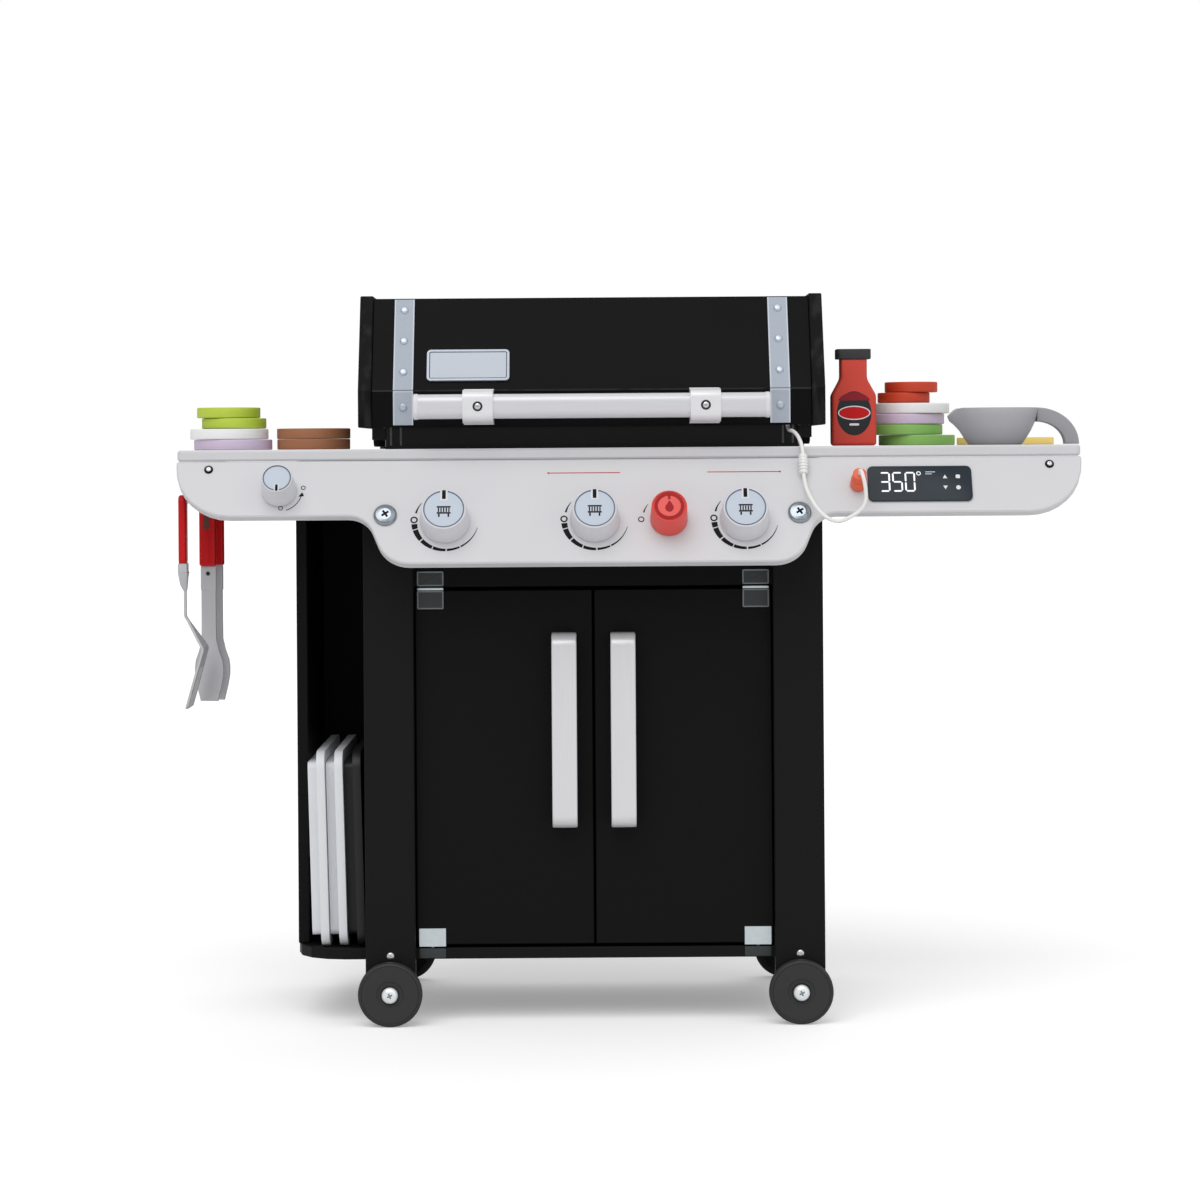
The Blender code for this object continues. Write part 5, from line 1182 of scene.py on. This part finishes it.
def add_rivets():
    """Domed rivets on the straps: one under the fold and three up the slope on each."""
    strap_thick = 1.9
    slope_long = 95.3
    dome = fillet(((0, -0.2, 0), (3.7, -0.2, 0), (3.7, 0.5, 0.3), (2.6, 1.8, 1.2), (0, 2.2, 0)), 4)
    for side, across in (("left", -STRAP_ACROSS), ("right", STRAP_ACROSS)):
        spots = [on_cabinet(across, LID_FRONT_DEPTH - strap_thick, 556.2)]
        for share in (0.19, 0.525, 0.86):
            spots.append(AT_SLOPE @ at(across, -strap_thick, share * slope_long))
        for step, spot in enumerate(spots):
            rivet = lathe(f"lid_strap_rivet_{side}_{step + 1}", "rivet", dome, 32)
            finish(rivet, spot @ AT_FRONT, "lid", "strap_metal")


# Doors: pulls and hinge plates

SIDES = (("left", -1, "door_l"), ("right", 1, "door_r"))
PULL_WIDE = 22.5


def pull_side_view():
    """A flat bar bent twice, from the door's face out and back."""
    root, face = 12, -12.7
    low, high = 177, 352
    inner_face, inner_low, inner_high = face + 5, low + 5, high - 5
    outer = ((root, low, 0), (face, low, 12), (face, high, 12), (root, high, 0))
    inner = (
        (root, inner_high, 0), (inner_face, inner_high, 7),
        (inner_face, inner_low, 7), (root, inner_low, 0),
    )
    return fillet(outer, 14) + fillet(inner, 14)


def add_pulls():
    for side, way, body in SIDES:
        pull = plate("door_pull_bar_" + side, "pull silver", [pull_side_view()], PULL_WIDE, 1.4)
        place = across_side(way * 26.5 - PULL_WIDE / 2)
        finish(pull, place, body, "silver_plastic", "door_pull_" + side)


def rimmed_leaf(name, outline, thick):
    """A small pressed plate: a dark field inside a paler rim."""
    obj = plate(name, "hinge rim", [outline], thick)
    edit(obj)
    pick("FACE", is_top)
    inset(1.1)
    inset(0.2, -0.2)
    use_slot(obj, "dark hinge sheet")
    return obj


def add_hinge_plates():
    """The hinges' fixed plates on the rail and the shelf's edge, and their bright folded edges."""
    # The top plates' dark sheet is painted shade, and the folded edges' bright sheet is a painted
    # highlight.
    for side, way, body in SIDES:
        place = on_cabinet(way * 147, 12.3, 0) @ AT_FRONT
        leaf = rimmed_leaf("hinge_frame_plate_" + side, bar(12, 394.5, 407.8, 1.2, 4), 1.3)
        finish(leaf, place, "cabinet", "hinge_steel")
        outline = bar(11.8, 390.9, 393, 0.4, 2)
        edge = plate("hinge_bright_edge_" + side, "bright hinge sheet", [outline], 1.7, 0.3, 2)
        finish(edge, place, body, "hinge_steel")
        leaf = rimmed_leaf("hinge_door_face_" + side, bar(11.9, 373.7, 390.2, 0.8, 3), 0.4)
        finish(leaf, place @ at(0, 0, 1.2), body, "hinge_steel")
        outline = bar(12, 58.5, 67.2, 1, 4)
        leaf = plate("hinge_shelf_plate_" + side, "dark hinge sheet", [outline], 1.3, 0.3, 2)
        finish(leaf, place, "cabinet", "hinge_steel")


# Wheels, axle heads and leg screws

LEG_ACROSS = 184.5
WHEEL_THICK = 12
WHEELS = (
    ("front_left", "wheel_fl", -LEG_ACROSS, -2, AT_FRONT, 4.4),
    ("front_right", "wheel_fr", LEG_ACROSS, -2, AT_FRONT, 4.4),
    ("rear_left", "wheel_rl", -LEG_ACROSS, 257.6, AT_BACK, 2.9),
    ("rear_right", "wheel_rr", LEG_ACROSS, 257.6, AT_BACK, 2.9),
)
# Eased rims, a groove in the face and a hub
WHEEL_CORNERS = (
    (0, 0, 0), (26.8, 0, 0.5), (28.5, 0.9, 0.8), (28.9, 3, 0.8), (28.9, 9, 0.8),
    (28.5, 11.1, 0.8), (26.8, WHEEL_THICK, 0.5), (26.2, WHEEL_THICK, 0), (25.8, 11.6, 0),
    (25.4, WHEEL_THICK, 0), (12.4, WHEEL_THICK, 0.4), (11.6, 11.2, 0.4), (8.6, 11, 0),
    (8, 10.4, 0), (0, 10.4, 0),
)


def add_wheels():
    """Each wheel with the axle's bright head, which is lower at the back."""
    for name, body, across, depth, facing, tall in WHEELS:
        place = on_cabinet(across, depth, 29) @ facing
        wheel = lathe("wheel_turned_" + name, "tyre", fillet(WHEEL_CORNERS, 3), 96)
        finish(wheel, place, body, "black_plastic", "wheel_" + name)
        head = screw_head("axle_head_" + name, "axle zinc", 7.2, tall, (8.2, 2.4, 1.8), 25, 0.6)
        # The cross recess gets the darker bolt chrome: painted shade in the recess.
        colour_faces(
            head, "bolt chrome", lambda spot, way: spot.z < tall - 0.3 and spot.xy.length < 3.6
        )
        finish(head, place @ at(0, 0, WHEEL_THICK + 0.1), "cabinet", "zinc_steel")


def add_leg_screws():
    for side, across in (("left", -LEG_ACROSS), ("right", LEG_ACROSS)):
        head = screw_head("leg_screw_" + side, "zinc", 3.4, 1.6, (3.6, 1, 1.2))
        finish(head, on_cabinet(across, 0.1, 62.2) @ AT_FRONT, "cabinet", "zinc_steel")


# Play food

DECK_STAND = 518.8
SLICE_THICK = 9.6
SLICE_GAP = 0.3
# Each stack's body, slot, node and depth, and its slices: name, place across, radius, rim, face
STACKS = (
    ("vegetables_left", "lilac_wood", "vegetable_stack_left", 100, (
        ("onion_left_1", -333.5, 36.2, "lilac", "pale onion"),
        ("onion_left_2", -337, 36.2, "pale onion", "lilac"),
        ("pickle_left_1", -332.5, 29.8, "lime", "pale lime"),
        ("pickle_left_2", -337.5, 29.3, "lime", "pale lime"),
    )),
    ("patties_body", "brown_wood", "patty_stack", 100, (
        ("patty_1", -258.6, 33.8, "patty brown", "patty brown"),
        ("patty_2", -258.6, 34, "patty brown", "patty brown"),
    )),
    ("vegetables_right", "green_wood", "vegetable_stack_right", 120, (
        ("pepper_1", 304, 35.5, "cucumber green", "pale green"),
        ("pepper_2", 293, 35, "cucumber green", "pale green"),
        ("onion_right_1", 294.5, 35.2, "lilac", "pale onion"),
        ("onion_right_2", 299, 35.5, "pale onion", "lilac"),
        ("tomato_1", 292, 24.3, "tomato", "pale tomato"),
        ("tomato_2", 299, 24.6, "tomato", "pale tomato"),
    )),
)


def round_slice(name, radius, low, rim_look, face_look):
    """A round slice with eased rims and a face that is set in a little."""
    sizes = {"radius": radius * MM, "depth": SLICE_THICK * MM}
    middle = (0, 0, (low + SLICE_THICK / 2) * MM)
    obj = start("cylinder", name, rim_look, vertices=72, location=middle, **sizes)
    pick("EDGE", is_rim)
    bevel(1)
    pick("FACE", lambda spot, way: way.z > 0.9 and spot.xy.length < 1)
    inset(radius * 0.09)
    inset(0.4, -0.2)
    use_slot(obj, face_look)
    return obj


def add_food():
    for body, slot, node, depth, slices in STACKS:
        for layer, (name, across, radius, rim_look, face_look) in enumerate(slices):
            low = layer * (SLICE_THICK + SLICE_GAP)
            obj = round_slice(name, radius, low, rim_look, face_look)
            replaced = [] if layer else [node]
            finish(obj, on_cabinet(across, depth, DECK_STAND), body, slot, *replaced)
    cheese = plate("cheese_square", "cheese", [bar(34, -34, 34, 6, 8)], 7, 1)
    place = on_cabinet(391.2, 155, DECK_STAND) @ turned(38, "Z")
    finish(cheese, place, "cheese_body", "yellow_wood", "cheese_slice")


# Bottle and bowl


def add_bottle():
    corners = mirrored([(20.4, 0, 3), (20.4, 46.2, 10), (12.1, 61.2, 12), (12.1, 80, 0)])
    obj = plate("sauce_bottle_body", "bottle red", [fillet(corners, 8)], 24, 3, 4)
    place = on_cabinet(240, 72, DECK_STAND) @ AT_FRONT
    finish(obj, place, "bottle_body", "red_wood", "sauce_bottle")
    cap = plate("sauce_bottle_cap", "bottle cap", [bar(15.9, -13, 13, 5, 8)], 9.2, 0.8)
    finish(cap, on_cabinet(240, 60, DECK_STAND + 79.3), "bottle_body", "black_plastic")
    label = (
        ("field", oval(31.6, 40.3, (0, 29.6)), "label black", 23.9, 0.3),
        ("top", oval(30, 20, (0, 38.8))[2:23], "label red", 24.1, 0.2),
        ("ring", oval(29.6, 13, (0, 30)), "white plastic", 24.2, 0.2),
        ("oval", oval(27.6, 11, (0, 30)), "red plastic", 24.3, 0.2),
        ("bar", bar(4.5, 18.4, 20.4, 1, 4), "white plastic", 24.1, 0.2),
    )
    for name, outline, look, rise, thick in label:
        mark = plate("sauce_bottle_label_" + name, look, [outline], thick)
        finish(mark, place @ at(0, 0, rise), "bottle_body", "red_wood")


def bowl_profile():
    wall = 2.2
    foot = (23.2, 0)
    side = [(25, 1.2), (28.5, 6.5), (32.5, 13), (35.8, 20), (37.8, 27)]
    rim = [(38.8, 32.8), (38.4, 33.5), (37.2, 33.5), (36.6, 32.8)]
    inside = [(radius - wall, up + wall * 0.4) for radius, up in reversed(side)]
    return [(0, 0), foot, *side, *rim, *inside, (20.5, wall), (0, wall)]


def bowl_handle_view():
    """A quarter arch seen from the front."""
    root = 37.2
    outer = []
    inner = []
    for step in range(25):
        angle = math.pi / 2 * step / 24
        for arc, trim in ((outer, 0), (inner, 12.8)):
            across = root + (38.3 - trim) * math.sin(angle)
            arc.append((across, (33.2 - trim) * math.cos(angle) + 0.3))
    return outer + inner[::-1]


def add_bowl():
    bowl = lathe("bowl_turned", "bowl grey", bowl_profile(), 96)
    edit(bowl)
    pick("VERT", lambda spot, way: spot.x < -35 and abs(spot.y) < 3.5 and spot.z > 30)
    bpy.ops.transform.translate(
        value=(-4.5 * MM, 0, -7 * MM),
        use_proportional_edit=True,
        proportional_edit_falloff="SMOOTH",
        proportional_size=20 * MM,
    )
    place = on_cabinet(366.4, 30, DECK_STAND)
    finish(bowl, place, "bowl_body", "bowl_plastic", "bowl", angle=60)
    wide = 15
    handle = plate("bowl_handle", "bowl handle", [bowl_handle_view()], wide, 3, 4)
    finish(handle, place @ at(0, wide / 2, 0) @ AT_FRONT, "bowl_body", "bowl_plastic")


# Trays

TRAY_LIP = 7.3
TRAY_BASE = 8.5
TRAY_HOLLOW = 12.8
TRAY_PITCH = 16.4
TRAYS = (
    ("tray_one", "white plastic", "white_plastic"),
    ("tray_two", "white plastic", "white_plastic"),
    ("tray_three", "black plastic", "black_plastic"),
)


def is_tray_rim(middle, way):
    levels = (TRAY_LIP, 0, -TRAY_BASE, TRAY_LIP - TRAY_HOLLOW)
    return is_rim(middle, way) and any(abs(middle.z - level) < 0.1 for level in levels)


def add_trays():
    """Each tray is a rimmed plate whose face is set in for the hollow and whose back steps out."""
    for step, (body, look, slot) in enumerate(TRAYS):
        name = f"tray_{step + 1}"
        obj = plate(name + "_moulded", look, [round_box(0, 200, 0, 177, 16, 12)], TRAY_LIP)
        edit(obj)
        pick("FACE", lambda middle, way: way.z < -0.9)
        inset(10)
        extrude(0, 0, -TRAY_BASE)
        pick("FACE", is_top)
        inset(18)
        extrude(0, 0, -TRAY_HOLLOW)
        pick("EDGE", is_tray_rim)
        bevel(1.4)
        stand = on_cabinet(step * TRAY_PITCH - 256.4, 15, 67.8) @ turned(-1.3, "Y")
        finish(obj, stand @ at(TRAY_BASE, 0, 0) @ AT_SIDE, body, slot, name)


# Spatula

GRIP_LOW = -57.5


def finish_spatula(obj, slot="grey_plastic", *replaced):
    finish(obj, on_cabinet(-368.6, 0, 472.5), "spatula_body", slot, *replaced)


def add_spatula_grip():
    wide = 6.7
    grip = plate("spatula_grip", "red plastic", [bar(9, GRIP_LOW, 6, 6, 8)], wide, 2, 4)
    settle(grip, at(-wide / 2, 0, 0) @ AT_SIDE)
    drill(grip, 2.1)
    finish_spatula(grip, "red_plastic", "spatula")


def add_spatula_collar():
    """The grey collar under the grip, tapered in both views."""
    side_view = ((-7.8, 2), (7.8, 2), (7.8, -6), (3.6, -22.5), (-3.6, -22.5), (-7.8, -6))
    front_view = (
        (-4, 2), (4, 2), (4, -5.5), (4.6, -6), (4, -10.5), (3.4, -20.5), (2.8, -23), (0.6, -23),
        (-2.4, -17), (-4, -6),
    )
    views = [[(along, GRIP_LOW + up) for along, up in view] for view in (side_view, front_view)]
    collar = crossed("spatula_collar", "tool grey", *views, 20)
    ease(collar, 0.8)
    finish_spatula(collar)


def add_spatula_blade():
    """A bent blade that widens from its neck, with three slots."""
    neck = 1.7
    root = GRIP_LOW - 18
    bend = GRIP_LOW - 45.5
    long = 52.8
    crank = (neck + 17.8, bend - 29)
    tip = (crank[0] - 14.8, crank[1] - long)
    path = fillet(((neck, root, 0), (neck, bend, 6), (*crank, 4), (*tip, 0)), 6)
    corners = mirrored([
        (24, tip[1] - 2, 6), (24, tip[1] + 26, 10), (20, crank[1] + 4, 8), (3.2, bend - 4, 6),
        (3.2, root, 0),
    ])
    blade = crossed("spatula_blade", "tool grey", fillet(corners, 5), sheet_path(path, 2), 60)
    top = crank[1] - long * 0.3
    for x in (-10, 0, 10):
        slot = plate("slot", None, [round_box(x - 2.5, x + 2.5, top - 30, top, 2.4, 5)], 80)
        settle(slot, at(-40, 0, 0) @ AT_SIDE)
        cut(blade, slot)
    finish_spatula(blade)


# Tongs

TONGS_TOP = -13.5
TONGS_LONG = 186.5
TONGS_HALF = 8.5
TONGS_PLACE = on_cabinet(-347.5, 42, 490.5) @ turned(-14, "Z")
# The arms' half widths by how far down they are, as a share of the arms' length
TONGS_WIDTHS = (
    (6.9, 0.6), (7.1, 0.7), (9.6, 0.755), (12.8, 0.8), (13.7, 0.835), (13.6, 0.875),
    (11.6, 0.93), (8.9, 0.985), (8, 1.01),
)


def finish_tongs(obj, place=TONGS_PLACE, *replaced):
    finish(obj, place, "tongs_body", "grey_plastic", *replaced)


def add_tongs_arms():
    """One strip bent over at the top, its arms widening to the heads."""
    low = TONGS_TOP - TONGS_LONG
    knee = TONGS_TOP - 100
    arch = [(-TONGS_HALF, low), (-TONGS_HALF, knee), (-TONGS_HALF, TONGS_TOP)]
    for step in range(1, 12):
        angle = math.pi * step / 12
        arch.append((-TONGS_HALF * math.cos(angle), TONGS_TOP + TONGS_HALF * math.sin(angle)))
    arch += [(TONGS_HALF, TONGS_TOP), (TONGS_HALF, knee), (TONGS_HALF, low)]
    rows = [(half, TONGS_TOP - TONGS_LONG * share, 0) for half, share in TONGS_WIDTHS]
    front_view = fillet(mirrored([(6.9, 12, 0), *rows]))
    arms = crossed("tongs_arms", "tool grey", sheet_path(arch, 2.6), front_view, 60)
    ease(arms, 0.4)
    finish_tongs(arms, TONGS_PLACE, "tongs")


def add_tongs_grips():
    """On the front and the rear arm: a red grip, a grey collar under it and a dark rivet."""
    for name, way, facing in (("front", 1, AT_FRONT), ("rear", -1, AT_BACK)):
        spot = TONGS_PLACE @ at(0, -way * 6.7, 0) @ facing
        low, high = sorted((way * (TONGS_TOP - 63.7), way * TONGS_TOP))
        outline = bar(7.7, low, high, 2.2)
        finish_tongs(plate("tongs_grip_" + name, "red plastic", [outline], 6.6, 1.7, 4), spot)
        low, high = sorted((way * (TONGS_TOP - 86), way * (TONGS_TOP - 63.5)))
        outline = bar(7.4, low, high, 1, 4)
        finish_tongs(plate("tongs_collar_" + name, "tool grey", [outline], 3.6, 0.9), spot)
        rivet = domed_head("tongs_rivet_" + name, "black plastic", 1.9, 0.8)
        finish_tongs(rivet, spot @ at(0, way * (TONGS_TOP - 70.5), 3.6))


def add_tongs_details():
    """The grip's duller inlay and its rib, and the ear that the tongs hang by."""
    spot = TONGS_PLACE @ at(0, -6.7, 0) @ AT_FRONT
    outline = bar(2.7, TONGS_TOP - 30, TONGS_TOP - 4.5, 1, 4)
    inlay = plate("tongs_grip_inlay", "grip inlay", [outline], PRINT_THICK)
    finish_tongs(inlay, spot @ at(0, 0, 6.5))
    outline = bar(1.9, TONGS_TOP - 60, TONGS_TOP - 31.5, 1.4, 4)
    rib = plate("tongs_grip_rib", "red plastic", [outline], 0.8, 0.3, 2)
    finish_tongs(rib, spot @ at(0, 0, 6.2))
    outline = bar(4.5, TONGS_TOP + TONGS_HALF - 1.4, 4.5, 4, 8)
    ear = plate("tongs_ear", "tool grey", [outline], 6, 0.5, 2)
    settle(ear, at(-3, 0, 0) @ AT_SIDE)
    drill(ear, 2)
    finish_tongs(ear)


LOOKS = make_looks()
add_camera()
add_lead()
paint_solids()
add_big_knobs()
add_side_knob()
add_red_knob()
add_panel_lines()
add_display()
add_panel_fasteners()
add_plug()
add_handle_bar()
add_handle_brackets()
add_badge()
add_rivets()
add_pulls()
add_hinge_plates()
add_wheels()
add_leg_screws()
add_food()
add_bottle()
add_bowl()
add_trays()
add_spatula_grip()
add_spatula_collar()
add_spatula_blade()
add_tongs_arms()
add_tongs_grips()
add_tongs_details()
bpy.context.scene.view_settings.view_transform = "Standard"
add_sky()
add_suns()
add_floor()
